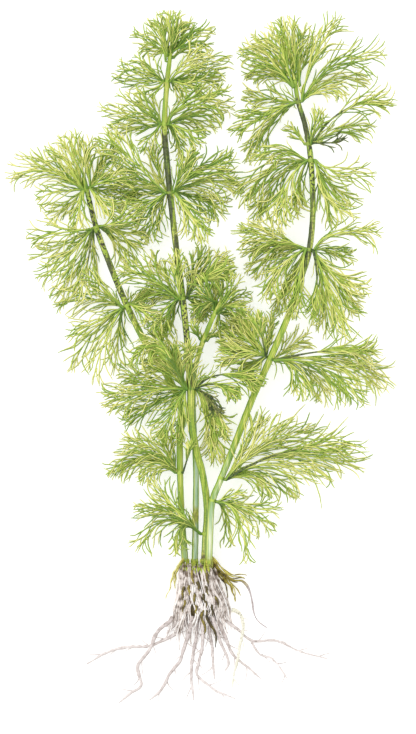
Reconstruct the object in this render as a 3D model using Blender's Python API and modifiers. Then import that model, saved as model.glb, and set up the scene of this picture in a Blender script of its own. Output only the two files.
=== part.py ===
"""Giant ambulia (Limnophila aquatica): one uprooted plant, laid down on a flat surface.

The plant lies on its side with its roots towards -Y and its tips towards +Y, seen from +Z.
The origin is on the surface, under the middle of the plant. Tables are in millimetres.

Three tall stems and a side shoot rise from one crown of roots. Whorls of deeply cut leaves
sit round the stems. The leaves that grew towards the surface are pressed flat on it, and
the others lie over them and over the stems.
"""

import bmesh
import bpy
import numpy as np
from mathutils import Vector

MM = 0.001
GAP = 0.3
LEAF_GAP = 0.5

# Stems, from the crown to the tip: x, y, z of the middle and the radius.
STEMS = {
    "centre_stem": (
        (1.5, -150, 13, 2.6), (2.5, -132, 13, 2.5), (3.6, -108, 14, 2.5), (0.5, -85, 16, 2.5),
        (-4.5, -66, 18, 2.6), (-8, -45, 20, 2.7), (-8, -23, 21, 2.8), (-10, 5, 21, 2.3),
        (-14, 42, 22, 2.3), (-17.5, 70, 22, 2.2), (-23, 118, 21, 2.2), (-27, 167, 21, 2.0),
        (-25, 198, 22, 1.8), (-22.5, 218, 23, 1.4)),
    "left_stem": (
        (-12, -150, 9, 2.5), (-14, -124, 9, 2.3), (-15.5, -95, 10, 2.2), (-16, -60, 11, 2.4),
        (-14.5, -40, 11, 2.5), (-22, -19, 12, 2.4), (-40, 9, 15, 2.4), (-54, 37, 17, 2.2),
        (-66, 66, 18, 2.1), (-76, 93, 18, 2.0), (-83, 121, 18, 1.7), (-85, 130, 18, 1.3)),
    "right_stem": (
        (4.6, -150, 19.5, 2.7), (5.6, -124, 20, 2.5), (7.2, -104, 20, 2.4), (13.7, -87, 20, 2.3),
        (24.5, -60, 18, 2.4), (36.5, -29, 14, 2.4), (49, -1, 18, 2.4), (62, 30, 20, 2.3),
        (72, 60, 20, 2.2), (77, 77, 20, 2.1), (79.5, 105, 20, 2.0), (78, 142, 20, 2.0),
        (74, 166, 20, 1.8), (69, 183, 20, 1.7), (66.5, 199, 20, 1.3)),
    "side_shoot": (
        (-5.3, -150, 8, 2.3), (-4.6, -115, 8, 2.2), (-4.4, -80, 8.5, 2.1), (-6.2, -45, 9.5, 2.0),
        (-6, -15, 11, 1.9), (-1.5, 5, 16, 1.8), (5, 22, 20, 1.7), (10.5, 34, 22, 1.5)),
}
STEM_STEP = 26

# Leaves of each whorl: a point that the leaf passes, its tip in plan, the height of its tip,
# and the reach of its longest side lobes. A tip height of 0 is a leaf pressed flat on the surface.
WHORLS = {
    "centre_top_tuft": ("centre_stem", 215, (
        (-36, 224, -52, 232, 14, 8), (-32, 231, -41, 241, 26, 6), (-27, 234, -31, 248, 36, 5),
        (-23, 236, -22, 249, 24, 5), (-19, 234, -14, 248, 38, 5), (-14, 231, -5, 243, 24, 6),
        (-9, 228, 10, 236, 32, 7), (-9, 222, 9, 224, 12, 7), (-34, 219, -46, 220, 6, 5))),
    "centre_whorl_1": ("centre_stem", 198, (
        (-38, 207, -48, 218, 30, 8), (-44, 206, -61, 212, 15, 9), (-45, 199, -66, 203, 0, 7),
        (-36, 191, -49, 190, 30, 5), (-13, 207, 8, 219, 36, 8), (-3, 207, 23, 215, 16, 8),
        (-4, 200, 18, 202, 0, 8), (-10, 195, 6, 191, 30, 7), (-17, 190, -11, 180, 12, 5))),
    "centre_whorl_2": ("centre_stem", 167, (
        (-43, 178, -62, 190, 32, 9), (-50, 174, -76, 179, 15, 8), (-47, 166, -70, 164, 0, 8),
        (-36, 181, -45, 194, 0, 6), (-37, 157, -46, 147, 28, 6), (-12, 181, 22, 190, 32, 8),
        (0, 179, 24, 176, 14, 9), (-5, 171, 12, 162, 0, 8), (-11, 161, 2, 150, 30, 7),
        (-17, 154, -13, 140, 10, 4))),
    "centre_whorl_3": ("centre_stem", 118, (
        (-46, 137, -72, 165, 32, 10), (-48, 127, -74, 138, 14, 10), (-46, 118, -68, 113, 0, 9),
        (-40, 108, -60, 95, 28, 9), (-34, 102, -43, 80, 12, 8), (-33, 137, -37, 158, 0, 6),
        (-13, 134, -4, 150, 38, 6), (-2, 132, 28, 142, 24, 8), (2, 125, 33, 122, 12, 9),
        (-1, 113, 19, 99, 0, 9), (-9, 103, 3, 79, 30, 8))),
    "centre_whorl_4": ("centre_stem", 42, (
        (-36, 55, -61, 68, 30, 9), (-28, 58, -40, 76, 12, 8), (-34, 44, -47, 39, 0, 7),
        (-27, 33, -40, 18, 26, 8), (-22, 32, -29, 12, 10, 6), (-2, 54, 25, 64, 32, 8),
        (-5, 60, 6, 80, 12, 8), (0, 58, 22, 76, 18, 7), (-18, 62, -16, 78, 30, 5),
        (-3, 38, 5, 25, 0, 6))),
    "centre_whorl_5": ("centre_stem", -23, (
        (-32, 7, -52, -8, 36, 6), (-24, -3, -34, 14, 24, 7), (-22, 3, -42, 20, 10, 7),
        (-28, -9, -46, -4, 30, 7), (-10, -3, -6, 14, 30, 5), (-36, -17, -62, -16, 14, 8),
        (-40, -25, -74, -35, 24, 9), (-34, -34, -60, -47, 12, 10), (-23, -42, -34, -62, 28, 7),
        (-14, -43, -18, -64, 20, 6), (-17, -6, -17, 10, 34, 5), (14, -13, 47, -19, 26, 7),
        (13, -20, 28, -31, 34, 6), (6, -31, 13, -43, 24, 5), (9, -40, 18, -62, 18, 5),
        (6, -50, 9, -80, 12, 7))),
    "base_leaf": ("centre_stem", -127, (
        (-24, -113, -50, -107, 17, 8), (-20, -107, -37, -87, 26, 7),
        (-28, -118, -46, -142, 9.5, 9), (-14, -122, -20, -144, 18, 5))),
    "left_top_whorl": ("left_stem", 121, (
        (-112, 133, -142, 129, 14, 8), (-105, 134, -127, 145, 0, 8), (-98, 139, -113, 152, 26, 7),
        (-93, 143, -103, 161, 10, 7), (-88, 144, -92, 164, 34, 6), (-82, 142, -79, 160, 18, 6),
        (-74, 135, -62, 158, 0, 7), (-66, 128, -45, 136, 26, 8), (-66, 119, -44, 118, 0, 8),
        (-70, 108, -58, 97, 28, 7), (-103, 118, -120, 112, 24, 8), (-98, 107, -113, 96, 0, 8),
        (-89, 104, -91, 86, 26, 6))),
    "left_whorl_2": ("left_stem", 93, (
        (-99, 89, -127, 86, 26, 7), (-100, 80, -126, 71, 0, 9), (-97, 71, -120, 56, 28, 9),
        (-90, 64, -109, 40, 0, 9), (-84, 62, -95, 38, 24, 8), (-77, 64, -77, 42, 0, 6),
        (-60, 97, -40, 106, 28, 8), (-58, 90, -36, 84, 14, 8), (-58, 80, -46, 62, 0, 8))),
    "left_whorl_3": ("left_stem", 37, (
        (-72, 50, -88, 61, 26, 7), (-80, 41, -108, 35, 0, 8), (-78, 24, -98, 12, 24, 8),
        (-82, 12, -95, -12, 0, 9), (-70, 10, -78, -21, 22, 9), (-61, 12, -63, -14, 0, 6),
        (-41, 45, -30, 50, 0, 6), (-42, 32, -31, 24, 26, 6))),
    "left_whorl_4": ("left_stem", -83, (
        (-32, -68, -60, -58, 18, 8), (-42, -73, -68, -87, 0, 8), (-33, -80, -45, -92, 18, 7),
        (-24, -66, -29, -48, 0, 6), (-10, -71, -8, -58, 26, 3))),
    "right_top_tuft": ("right_stem", 197, (
        (47, 204, 28, 202, 0, 7), (45, 213, 24, 218, 22, 8), (48, 221, 34, 231, 12, 8),
        (55, 224, 47, 240, 30, 7), (61, 226, 57, 245, 14, 6), (66, 226, 67, 245, 36, 6),
        (71, 222, 77, 240, 20, 6), (74, 212, 83, 224, 6, 6))),
    "right_whorl_1": ("right_stem", 183, (
        (96, 209, 134, 217, 28, 8), (95, 200, 122, 196, 0, 9), (81, 216, 101, 246, 34, 7),
        (90, 192, 104, 184, 26, 5), (48, 186, 28, 188, 0, 8), (42, 172, 18, 160, 24, 8),
        (46, 165, 31, 138, 0, 8))),
    "right_whorl_2": ("right_stem", 153, (
        (105, 178, 141, 182, 28, 8), (102, 164, 127, 166, 0, 7), (81, 165, 87, 179, 34, 5),
        (92, 154, 105, 157, 30, 4), (68, 160, 59, 168, 10, 4))),
    "right_whorl_3": ("right_stem", 141, (
        (55, 148, 35, 138, 30, 7), (46, 132, 26, 106, 14, 9), (52, 124, 40, 94, 0, 9),
        (60, 120, 56, 86, 28, 8), (69, 121, 69, 98, 8, 5), (98, 133, 126, 131, 26, 8),
        (95, 122, 117, 111, 0, 8), (92, 115, 114, 99, 28, 6), (89, 112, 94, 90, 12, 6))),
    "right_whorl_4": ("right_stem", 77, (
        (50, 86, 20, 90, 26, 8), (50, 80, 27, 72, 16, 6), (52, 74, 34, 57, 10, 8),
        (56, 62, 42, 38, 28, 8), (62, 54, 52, 28, 0, 7), (69, 53, 66, 26, 24, 6),
        (97, 89, 131, 88, 28, 7), (95, 76, 112, 68, 0, 6),
        (99, 57, 123, 47, 26, 8), (97, 50, 118, 28, 0, 9), (93, 43, 107, 9, 26, 8),
        (87, 42, 90, 11, 8, 7), (82, 56, 80, 22, 32, 5))),
    "right_whorl_5": ("right_stem", -1, (
        (43, 14, 38, 34, 30, 7), (48, 16, 50, 34, 16, 5), (37, 13, 24, 38, 14, 7),
        (33, 14, 14, 28, 0, 9), (31, 7, 9, 13, 18, 7), (30, 2, 8, -2, 26, 9),
        (34, -7, 21, -13, 0, 5), (66, 10, 80, 17, 0, 7), (92, 4, 131, 2, 26, 7),
        (97, -3, 139, -24, 0, 10), (88, -9, 118, -37, 28, 10), (77, -11, 92, -37, 0, 9),
        (66, -9, 74, -32, 26, 7))),
    "right_whorl_6": ("right_stem", -87, (
        (34, -58, 47, -36, 14, 6), (42, -62, 67, -42, 28, 8), (48, -64, 92, -52, 0, 9),
        (64, -67, 121, -66, 28, 10), (62, -71, 118, -84, 0, 10), (50, -77, 92, -90, 26, 9),
        (44, -84, 72, -103, 0, 9), (36, -87, 52, -102, 24, 6))),
    "right_whorl_7": ("right_stem", -103, (
        (22, -99, 33, -98, 28, 4), (36, -108, 59, -108, 26, 6), (33, -112, 52, -129, 0, 8),
        (25, -114, 35, -149, 26, 7), (17, -114, 20, -138, 0, 4))),
    "side_shoot_leaves": ("side_shoot", 12, (
        (-5, 19, -9, 27, 26, 3), (10, 16, 20, 17, 12, 4))),
    "side_shoot_tuft": ("side_shoot", 32, (
        (4, 45, -3, 60, 32, 6), (9, 48, 5, 64, 24, 5), (12, 48, 13, 64, 16, 6),
        (19, 47, 25, 61, 36, 7), (25, 42, 37, 43, 18, 6), (23, 36, 36, 32, 30, 5),
        (21, 30, 31, 20, 0, 7), (12, 25, 13, 14, 14, 5), (1, 36, -10, 33, 22, 5),
        (1, 32, -7, 25, 8, 6))),
}

# The ring that a whorl grows from. Leaves start at ROOTED_SHARE of its wall, and a leaf that
# rises also starts higher up round it, by TURN_UP.
COLLAR_WALL = 1.6
COLLAR_LENGTH = 4.5
COLLAR_SIDES = 6
ROOTED_SHARE = 0.7
TURN_UP = 0.6

# Leaf blades: a stalk, then pairs of pointed lobes and an end lobe, with a ridge on top.
STALK_SHARE = 0.28
END_LOBE_SHARE = 0.80
STALK_HALF_WIDTH = 0.9
RIDGE = 1.5
BASE_DROP = 0.75 * RIDGE
LOBE_LEAD = 0.75
LOBE_DROOP = 0.12
LOBE_FALL = 6
SHORT_LEAF = 44
LONG_LEAF_SIZES = (1.0, 0.85)
SHORT_LEAF_SIZES = (0.95,)
UNDER_HEIGHT = 9
UNDER_STEEPNESS = 4

# Roots: x, y, z of the route, radius at the crown and at the tip.
ROOTS = {
    "root_left_long": ((
        (-11.5, -186.4, 4.2), (-11.8, -190, 4.1), (-14.5, -195, 3.8), (-21, -200.5, 3),
        (-38, -208, 1.8), (-52, -209, 1.5), (-66, -212, 1.3), (-83, -221, 1)), 1.6, 0.8),
    "root_left_outer": ((
        (-21.4, -186.4, 5.2), (-23, -190, 5.2), (-32, -197, 5.6), (-37.5, -209, 5), (-47, -222, 2),
        (-44, -235, 1.5), (-52, -242, 1.3), (-60, -249, 1)), 1.7, 0.8),
    "root_left_inner": ((
        (-7.2, -186.4, 6.8), (-7.8, -191, 6.8), (-10, -200, 6.2), (-13, -208, 4), (-17, -220, 2),
        (-24, -228, 1.6), (-30, -240, 1.4), (-38, -247, 1)), 1.7, 0.8),
    "root_left_short": ((
        (-17.2, -186.4, 3.4), (-17.4, -189.5, 3.3), (-20, -193, 2.6), (-25.5, -199, 1)), 1.4, 0.7),
    "root_middle_left": ((
        (-3.4, -186.4, 3.8), (-3.6, -192, 3.4), (-4.5, -205, 2.5), (-8, -225, 1.5),
        (-6, -247, 1)), 1.6, 0.8),
    "root_middle_crossing": ((
        (0, -186.4, 7.4), (0.2, -192, 7.2), (0.5, -205, 6), (-1.5, -219, 2.5), (-2.5, -229, 1.6),
        (9.5, -239, 1.4), (24, -246, 1)), 1.5, 0.7),
    "root_middle": ((
        (3.8, -186.4, 3.6), (4.5, -192, 3.2), (7, -207, 2), (9, -232, 1)), 1.5, 0.7),
    "root_right_hooked": ((
        (7.6, -186.4, 7), (8.6, -191, 6.8), (12.5, -204, 5), (18.5, -219, 1.5), (16.5, -226, 1)), 1.4, 0.7),
    "root_right_bowed": ((
        (21.3, -182, 8.2), (24.5, -182.6, 8.2), (28, -186, 8), (29.5, -193, 7.6), (28.5, -203, 7),
        (25.5, -218, 5.5), (22.5, -230, 1.6), (21.6, -240, 1)), 1.5, 0.7),
    "root_right_low": ((
        (11.8, -186.4, 3), (12, -190, 2.9), (18, -205, 1.6), (24, -216, 1.4), (35, -225, 1.2),
        (43, -232, 1)), 1.5, 0.7),
    "root_right_long": ((
        (16, -186.4, 4.8), (16.2, -189, 4.8), (25, -195, 3.6), (36, -203.5, 2), (54, -203.5, 1.6),
        (70, -211, 1.4), (91, -217.5, 1)), 1.7, 0.8),
    "root_right_fork": ((
        (36.8, -206.9, 1.6), (42, -214, 1.4), (51, -217, 1.2), (57, -225, 1.1),
        (62, -233, 1)), 1.1, 0.7),
    "root_olive_long": ((
        (12, -152, 12), (16, -156, 11), (22, -160.5, 8), (29, -161.5, 4), (34, -167, 2),
        (36, -177, 1.4), (40, -190, 1.2), (47, -195, 1)), 1.4, 0.7),
    "root_olive_stub": ((
        (12.6, -156, 8), (17, -160.5, 6), (21.5, -167, 3), (24, -176, 1.2)), 1.5, 0.9),
    "root_yellow": ((
        (-18.3, -152, 9), (-21, -157, 6), (-22.5, -164, 3), (-26, -174, 1.1)), 1.0, 0.7),
}
ROOT_STEP = 20

# Crown and the matted bases of the roots: y of each section, then middle x and z, half width
# and half height. Its flutes are as deep as FLUTE times its half width and half height.
CROWN = (
    (-150.3, -3.8, 13.2, 11.5, 9.6), (-153, -3.6, 12.8, 13, 10.4), (-158, -3, 11.6, 13.8, 10.2),
    (-166, -2, 9.4, 16, 8.4), (-175, -0.6, 7.2, 19.3, 6.4), (-183, -0.5, 5.3, 22, 4.6),
    (-186, -0.5, 4.8, 21.5, 3.9))
CROWN_SIDES = 20
FLUTE = 0.1

LEAF_GREEN = (0.27, 0.42, 0.05)
LEAF_PALE = (0.36, 0.47, 0.08)
STEM_GREEN = (0.24, 0.33, 0.06)
STEM_PALE = (0.42, 0.53, 0.36)
ROOT_WHITE = (0.62, 0.55, 0.52)
ROOT_OLIVE = (0.26, 0.21, 0.04)
CROWN_OLIVE = (0.36, 0.32, 0.16)

# The pile of leaves is kept as heights on a square grid in plan.
# Its samples of a stem lie STEM_SAMPLE apart along it, in STEM_STRIPS strips across it.
CELL = 1.0
BARE = -1.0
STEM_SAMPLE = 0.7
STEM_STRIPS = 9
GRID_HALF = (160, 260)
TRIANGLE_SAMPLES = 14
LIFT_ROUNDS = 40
LIFT_ENOUGH = 0.05
LIFT_SHARE = 0.25
COLLAR_ZONE = 10


def clear_scene():
    for old in list(bpy.data.objects):
        bpy.data.objects.remove(old, do_unlink=True)


def make_collection(name):
    collection = bpy.data.collections.new(name)
    bpy.context.scene.collection.children.link(collection)
    return collection


def make_material(name, colour, roughness):
    material = bpy.data.materials.new(name)
    material.use_nodes = True
    shader = material.node_tree.nodes["Principled BSDF"]
    shader.inputs["Base Color"].default_value = (*colour, 1)
    shader.inputs["Roughness"].default_value = roughness
    shader.inputs["Metallic"].default_value = 0
    return material


def smooth_route(points, step):
    """Points about `step` apart on a smooth curve through `points`, with any further columns."""
    route = np.array(points, float)
    ends = np.vstack((2 * route[0] - route[1], route, 2 * route[-1] - route[-2]))
    found = []
    for i in range(1, len(ends) - 2):
        before, start, end, after = ends[i - 1:i + 3]
        count = max(1, round(np.linalg.norm(end[:3] - start[:3]) / step))
        for t in np.arange(count) / count:
            found.append(0.5 * (2 * start + (end - before) * t
                                + (2 * before - 5 * start + 4 * end - after) * t ** 2
                                + (3 * start - before - 3 * end + after) * t ** 3))
    return np.vstack((found, route[-1]))


def add_object(name, data, material, origin, parent, collection):
    thing = bpy.data.objects.new(name, data)
    data.materials.append(material)
    collection.objects.link(thing)
    thing.location = Vector(origin) * MM
    thing.parent = parent
    return thing


def add_tube(name, route, material, parent, collection):
    """A tube along `route`, whose rows are x, y, z and radius."""
    curve = bpy.data.curves.new(name, "CURVE")
    curve.dimensions = "3D"
    curve.bevel_depth = MM
    curve.bevel_resolution = 1
    curve.use_fill_caps = True
    spline = curve.splines.new("POLY")
    spline.points.add(len(route) - 1)
    origin = route[0][:3]
    for point, row in zip(spline.points, route):
        point.co = (*((row[:3] - origin) * MM), 1)
        point.radius = row[3]
    spline.use_smooth = True
    return add_object(name, curve, material, origin, parent, collection)


def stem_at(route, y):
    """Middle, direction and radius of a stem where it passes `y`."""
    i = int(np.argmax(route[:, 1] >= y))
    share = (y - route[i - 1, 1]) / (route[i, 1] - route[i - 1, 1])
    row = route[i - 1] + share * (route[i] - route[i - 1])
    along = route[min(i + 1, len(route) - 1), :3] - route[max(i - 2, 0), :3]
    return row[:3], along / np.linalg.norm(along), row[3]


class Leaf:
    """One leaf: edge points at the blade's underside, ridge points on its top, and its faces."""

    def __init__(self, row, middle, along, ring_radius):
        via_x, via_y, tip_x, tip_y, tip_z, reach = row
        self.tip_z = tip_z
        self.middle = middle
        tip = np.array((tip_x, tip_y, tip_z))
        towards = np.array((via_x - middle[0], via_y - middle[1], TURN_UP * (tip_z - middle[2])))
        outward = towards - along * towards.dot(along)
        self.base = middle + outward / np.linalg.norm(outward) * ring_radius
        self.base[2] -= BASE_DROP
        via = np.array((via_x, via_y))
        self.bend = 2 * via - 0.5 * (self.base[:2] + tip[:2])
        self.tip = tip
        self.length = np.linalg.norm(via - self.base[:2]) + np.linalg.norm(tip[:2] - via)
        sizes = SHORT_LEAF_SIZES if self.length < SHORT_LEAF else LONG_LEAF_SIZES
        self.pairs = len(sizes)
        self.lay_out([reach * size for size in sizes])

    def plan(self, t):
        rest = 1 - t
        return rest * rest * self.base[:2] + 2 * rest * t * self.bend + t * t * self.tip[:2]

    def sideways(self, t):
        slope = (1 - t) * (self.bend - self.base[:2]) + t * (self.tip[:2] - self.bend)
        slope /= np.linalg.norm(slope)
        return slope, np.array((-slope[1], slope[0]))

    def height(self, t):
        steepness = UNDER_STEEPNESS if self.tip[2] < UNDER_HEIGHT else 2
        return self.base[2] + (self.tip[2] - self.base[2]) * (1 - (1 - t) ** steepness)

    def point(self, t, aside, ahead=0.0):
        slope, side = self.sideways(t)
        place = self.plan(t) + side * aside + slope * ahead
        later = min(1.0, t + ahead / self.length)
        droop = LOBE_DROOP * max(0.0, abs(aside) - STALK_HALF_WIDTH)
        return (*place, max(0.0, self.height(later) - droop))

    def lay_out(self, lobe_sizes):
        """Place the points along the stalk, then the lobe tips, and list the faces between them."""
        pairs = self.pairs
        stations = [0.0, *np.linspace(STALK_SHARE, END_LOBE_SHARE, pairs + 1)]
        half = STALK_HALF_WIDTH
        points = []
        for t in stations:
            points += [self.point(t, half), self.point(t, -half)]
        lobe_start = self.lobe_start = len(points)
        for k, size in enumerate(lobe_sizes):
            middle = (stations[k + 1] + stations[k + 2]) / 2
            points += [self.point(middle, size, LOBE_LEAD * size)]
            points += [self.point(middle, -size, LOBE_LEAD * size)]
        points.append(self.point(1.0, 0.0))
        end = len(points) - 1
        self.edge = np.array(points)
        self.ridge = np.array([self.point(t, 0.0) for t in stations])
        first = len(points)
        self.under = [(0, 1, 3), (0, 3, 2)]
        self.top = [(0, 2, first + 1, first), (1, first, first + 1, 3)]
        for k in range(pairs):
            left, right = 2 * k + 2, 2 * k + 3
            left_tip, right_tip = lobe_start + 2 * k, lobe_start + 2 * k + 1
            crest, next_crest = first + 1 + k, first + 2 + k
            self.under += [(left, right, right + 2), (left, right + 2, left + 2)]
            self.under += [(left, left + 2, left_tip), (right, right_tip, right + 2)]
            self.top += [(left, left_tip, crest), (left_tip, next_crest, crest)]
            self.top += [(left_tip, left + 2, next_crest), (right_tip, next_crest, right + 2)]
            self.top += [(right, crest, right_tip), (right_tip, crest, next_crest)]
        left = 2 * pairs + 2
        self.under.append((left, left + 1, end))
        self.top += [(left, end, first + pairs + 1), (left + 1, first + pairs + 1, end)]

    def raise_lobes(self):
        """A lobe hangs at most LOBE_FALL below the stalk that it grows from."""
        for k in range(self.pairs):
            lowest = np.mean(self.edge[2 * k + 2:2 * k + 6, 2]) - LOBE_FALL
            for tip in (self.lobe_start + 2 * k, self.lobe_start + 2 * k + 1):
                self.edge[tip, 2] = max(self.edge[tip, 2], lowest)

    def set_ridge(self):
        """Each ridge point stands RIDGE above the middle of the two edge points beside it."""
        feet = self.edge[:self.lobe_start, 2].reshape(-1, 2)
        self.ridge[:, 2] = feet.mean(axis=1) + RIDGE

    def solid(self, origin):
        """The closed blade as a mesh object, about `origin`."""
        mesh_builder = bmesh.new()
        corners = [mesh_builder.verts.new((p - origin) * MM) for p in np.vstack((self.edge, self.ridge))]
        first = len(self.edge)
        for face in self.under + [(0, first, 1)] + self.top:
            mesh_builder.faces.new([corners[i] for i in reversed(face)])
        bmesh.ops.triangulate(mesh_builder, faces=mesh_builder.faces[:])
        bmesh.ops.recalc_face_normals(mesh_builder, faces=mesh_builder.faces[:])
        mesh = bpy.data.meshes.new("blade")
        mesh_builder.to_mesh(mesh)
        mesh_builder.free()
        return bpy.data.objects.new("blade", mesh)


class Pile:
    """Height of what already lies on the surface, on a square grid in plan."""

    def __init__(self):
        cells = [int(2 * half / CELL) for half in GRID_HALF]
        self.height = np.full(cells, BARE)
        steps = np.arange(TRIANGLE_SAMPLES + 1) / TRIANGLE_SAMPLES
        corners = [(a, b, 1 - a - b) for i, a in enumerate(steps) for b in steps[:len(steps) - i]]
        self.weights = np.array(corners)

    def cells(self, plan):
        return (((plan + GRID_HALF) / CELL).astype(int)).T

    def add(self, points):
        """Raise the grid to `points`, one cell to each side included."""
        for dx in (-CELL, 0, CELL):
            for dy in (-CELL, 0, CELL):
                x, y = self.cells(points[:, :2] + (dx, dy))
                np.maximum.at(self.height, (x, y), points[:, 2])

    def add_stem(self, route):
        fine = smooth_route(route, STEM_SAMPLE)
        radius = fine[:, 3]
        ahead = np.gradient(fine[:, :2], axis=0)
        across = np.stack((-ahead[:, 1], ahead[:, 0]), 1)
        across /= np.linalg.norm(across, axis=1)[:, None]
        for share in np.linspace(-1, 1, STEM_STRIPS):
            plan = fine[:, :2] + across * (share * radius)[:, None]
            self.add(np.column_stack((plan, fine[:, 2] + radius * (1 - share ** 2) ** 0.5)))

    def lay(self, leaf):
        """Lift the leaf clear of what lies under it, then add it to the pile."""
        corners = np.array(leaf.under)
        plan = np.einsum("sc,tcx->tsx", self.weights, leaf.edge[corners][:, :, :2])
        x, y = self.cells(plan.reshape(-1, 2))
        floor = self.height[x, y].reshape(plan.shape[:2]) + LEAF_GAP
        free = np.linalg.norm(plan - leaf.middle[:2], axis=2) < COLLAR_ZONE
        floor[free] = BARE
        for _ in range(LIFT_ROUNDS):
            heights = np.einsum("sc,tc->ts", self.weights, leaf.edge[corners][:, :, 2])
            short = np.maximum(0.0, floor - heights)
            if short.max() < LIFT_ENOUGH:
                break
            lifts = np.zeros(len(leaf.edge))
            for corner in range(3):
                holding = self.weights[:, corner] > LIFT_SHARE
                need = short[:, holding].max(axis=1)
                np.maximum.at(lifts, corners[:, corner], need)
            lifts[:2] = 0.0
            paired = lifts[:leaf.lobe_start].reshape(-1, 2)
            paired[:] = paired.max(axis=1)[:, None]
            leaf.edge[:, 2] += lifts
        leaf.raise_lobes()
        leaf.set_ridge()
        everything = np.vstack((leaf.edge, leaf.ridge))
        for face in leaf.top:
            for i in range(1, len(face) - 1):
                triangle = everything[[face[0], face[i], face[i + 1]]]
                self.add(self.weights @ triangle)


def lay_all(routes, whorls):
    """Lay the lowest leaves first, then the stems and their rings, then the other leaves."""
    leaves = sorted((leaf for whorl in whorls.values() for leaf in whorl[3]), key=lambda leaf: leaf.tip_z)
    pile = Pile()
    for leaf in leaves:
        if leaf.tip_z < UNDER_HEIGHT:
            pile.lay(leaf)
    for route in routes.values():
        pile.add_stem(route)
    for middle, along, radius, _ in whorls.values():
        ends = (middle - along * COLLAR_LENGTH / 2, middle + along * COLLAR_LENGTH / 2)
        pile.add_stem([(*end, radius + GAP + COLLAR_WALL) for end in ends])
    for leaf in leaves:
        if leaf.tip_z >= UNDER_HEIGHT:
            pile.lay(leaf)


def add_collar(middle, along, stem_radius):
    """The ring that the leaves of a whorl grow from, open round the stem."""
    mesh_builder = bmesh.new()
    outer = (stem_radius + GAP + COLLAR_WALL) / np.cos(np.pi / COLLAR_SIDES)
    bmesh.ops.create_cone(mesh_builder, cap_ends=False, segments=COLLAR_SIDES, depth=COLLAR_LENGTH * MM,
                          radius1=outer * MM, radius2=outer * MM)
    turn = Vector((0, 0, 1)).rotation_difference(Vector(along)).to_matrix().to_4x4()
    bmesh.ops.transform(mesh_builder, matrix=turn, verts=mesh_builder.verts)
    mesh = bpy.data.meshes.new("collar")
    mesh_builder.to_mesh(mesh)
    mesh_builder.free()
    collar = bpy.data.objects.new("collar", mesh)
    wall = collar.modifiers.new("wall", "SOLIDIFY")
    wall.thickness = COLLAR_WALL * MM
    wall.offset = -1
    return collar


def add_whorl(name, middle, collar, leaves, material, parent, collection):
    """One solid of a collar and its leaves."""
    operands = [leaf.solid(middle) for leaf in leaves]
    for thing in [collar] + operands:
        collection.objects.link(thing)
    for operand in operands:
        union = collar.modifiers.new("union", "BOOLEAN")
        union.operation = "UNION"
        union.object = operand
    bpy.context.view_layer.update()
    graph = bpy.context.evaluated_depsgraph_get()
    mesh = bpy.data.meshes.new_from_object(collar.evaluated_get(graph))
    mesh.name = name
    for thing in [collar] + operands:
        bpy.data.objects.remove(thing, do_unlink=True)
    mesh.materials.clear()
    return add_object(name, mesh, material, middle, parent, collection)


def add_crown(material, parent, collection):
    """The crown that the stems rise from, fluted by the roots that are matted together on it."""
    mesh_builder = bmesh.new()
    origin = np.array((CROWN[0][1], CROWN[0][0], CROWN[0][2]))
    rings = []
    turns = 2 * np.pi * np.arange(CROWN_SIDES) / CROWN_SIDES
    depth = 1 - FLUTE * (np.arange(CROWN_SIDES) % 2)
    for y, x, z, half_width, half_height in CROWN:
        across = x + half_width * depth * np.cos(turns)
        up = z + half_height * depth * np.sin(turns)
        ring = np.stack((across, np.full(CROWN_SIDES, y), up), 1)
        rings.append([mesh_builder.verts.new((corner - origin) * MM) for corner in ring])
    for ring, following in zip(rings, rings[1:]):
        for i in range(CROWN_SIDES):
            j = (i + 1) % CROWN_SIDES
            mesh_builder.faces.new((ring[i], ring[j], following[j], following[i]))
    mesh_builder.faces.new(rings[0])
    mesh_builder.faces.new(rings[-1])
    bmesh.ops.recalc_face_normals(mesh_builder, faces=mesh_builder.faces[:])
    mesh = bpy.data.meshes.new("root_crown")
    mesh_builder.to_mesh(mesh)
    mesh_builder.free()
    return add_object("root_crown", mesh, material, origin, parent, collection)


def main():
    clear_scene()
    collection = make_collection("giant_ambulia")
    plant = bpy.data.objects.new("giant_ambulia_frame", None)
    collection.objects.link(plant)

    routes = {name: smooth_route(rows, STEM_STEP) for name, rows in STEMS.items()}
    for name, route in routes.items():
        colour = STEM_PALE if name == "side_shoot" else STEM_GREEN
        add_tube(name, route, make_material(name, colour, 0.5), plant, collection)

    whorls = {}
    for name, (stem, y, rows) in WHORLS.items():
        middle, along, radius = stem_at(routes[stem], y)
        ring_radius = radius + GAP + ROOTED_SHARE * COLLAR_WALL
        leaves = [Leaf(row, middle, along, ring_radius) for row in rows]
        whorls[name] = (middle, along, radius, leaves)

    lay_all(routes, whorls)

    for name, (middle, along, radius, leaves) in whorls.items():
        colour = LEAF_PALE if name.endswith("tuft") else LEAF_GREEN
        collar = add_collar(middle, along, radius)
        material = make_material(name, colour, 0.55)
        add_whorl(name, middle, collar, leaves, material, plant, collection)

    add_crown(make_material("root_crown", CROWN_OLIVE, 0.8), plant, collection)
    for name, (points, thick, thin) in ROOTS.items():
        shares = np.linspace(0, 1, len(points))
        rows = [(*point, thick + (thin - thick) * share) for point, share in zip(points, shares)]
        colour = ROOT_OLIVE if "olive" in name or "yellow" in name else ROOT_WHITE
        add_tube(name, smooth_route(rows, ROOT_STEP), make_material(name, colour, 0.7), plant, collection)


main()
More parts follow.
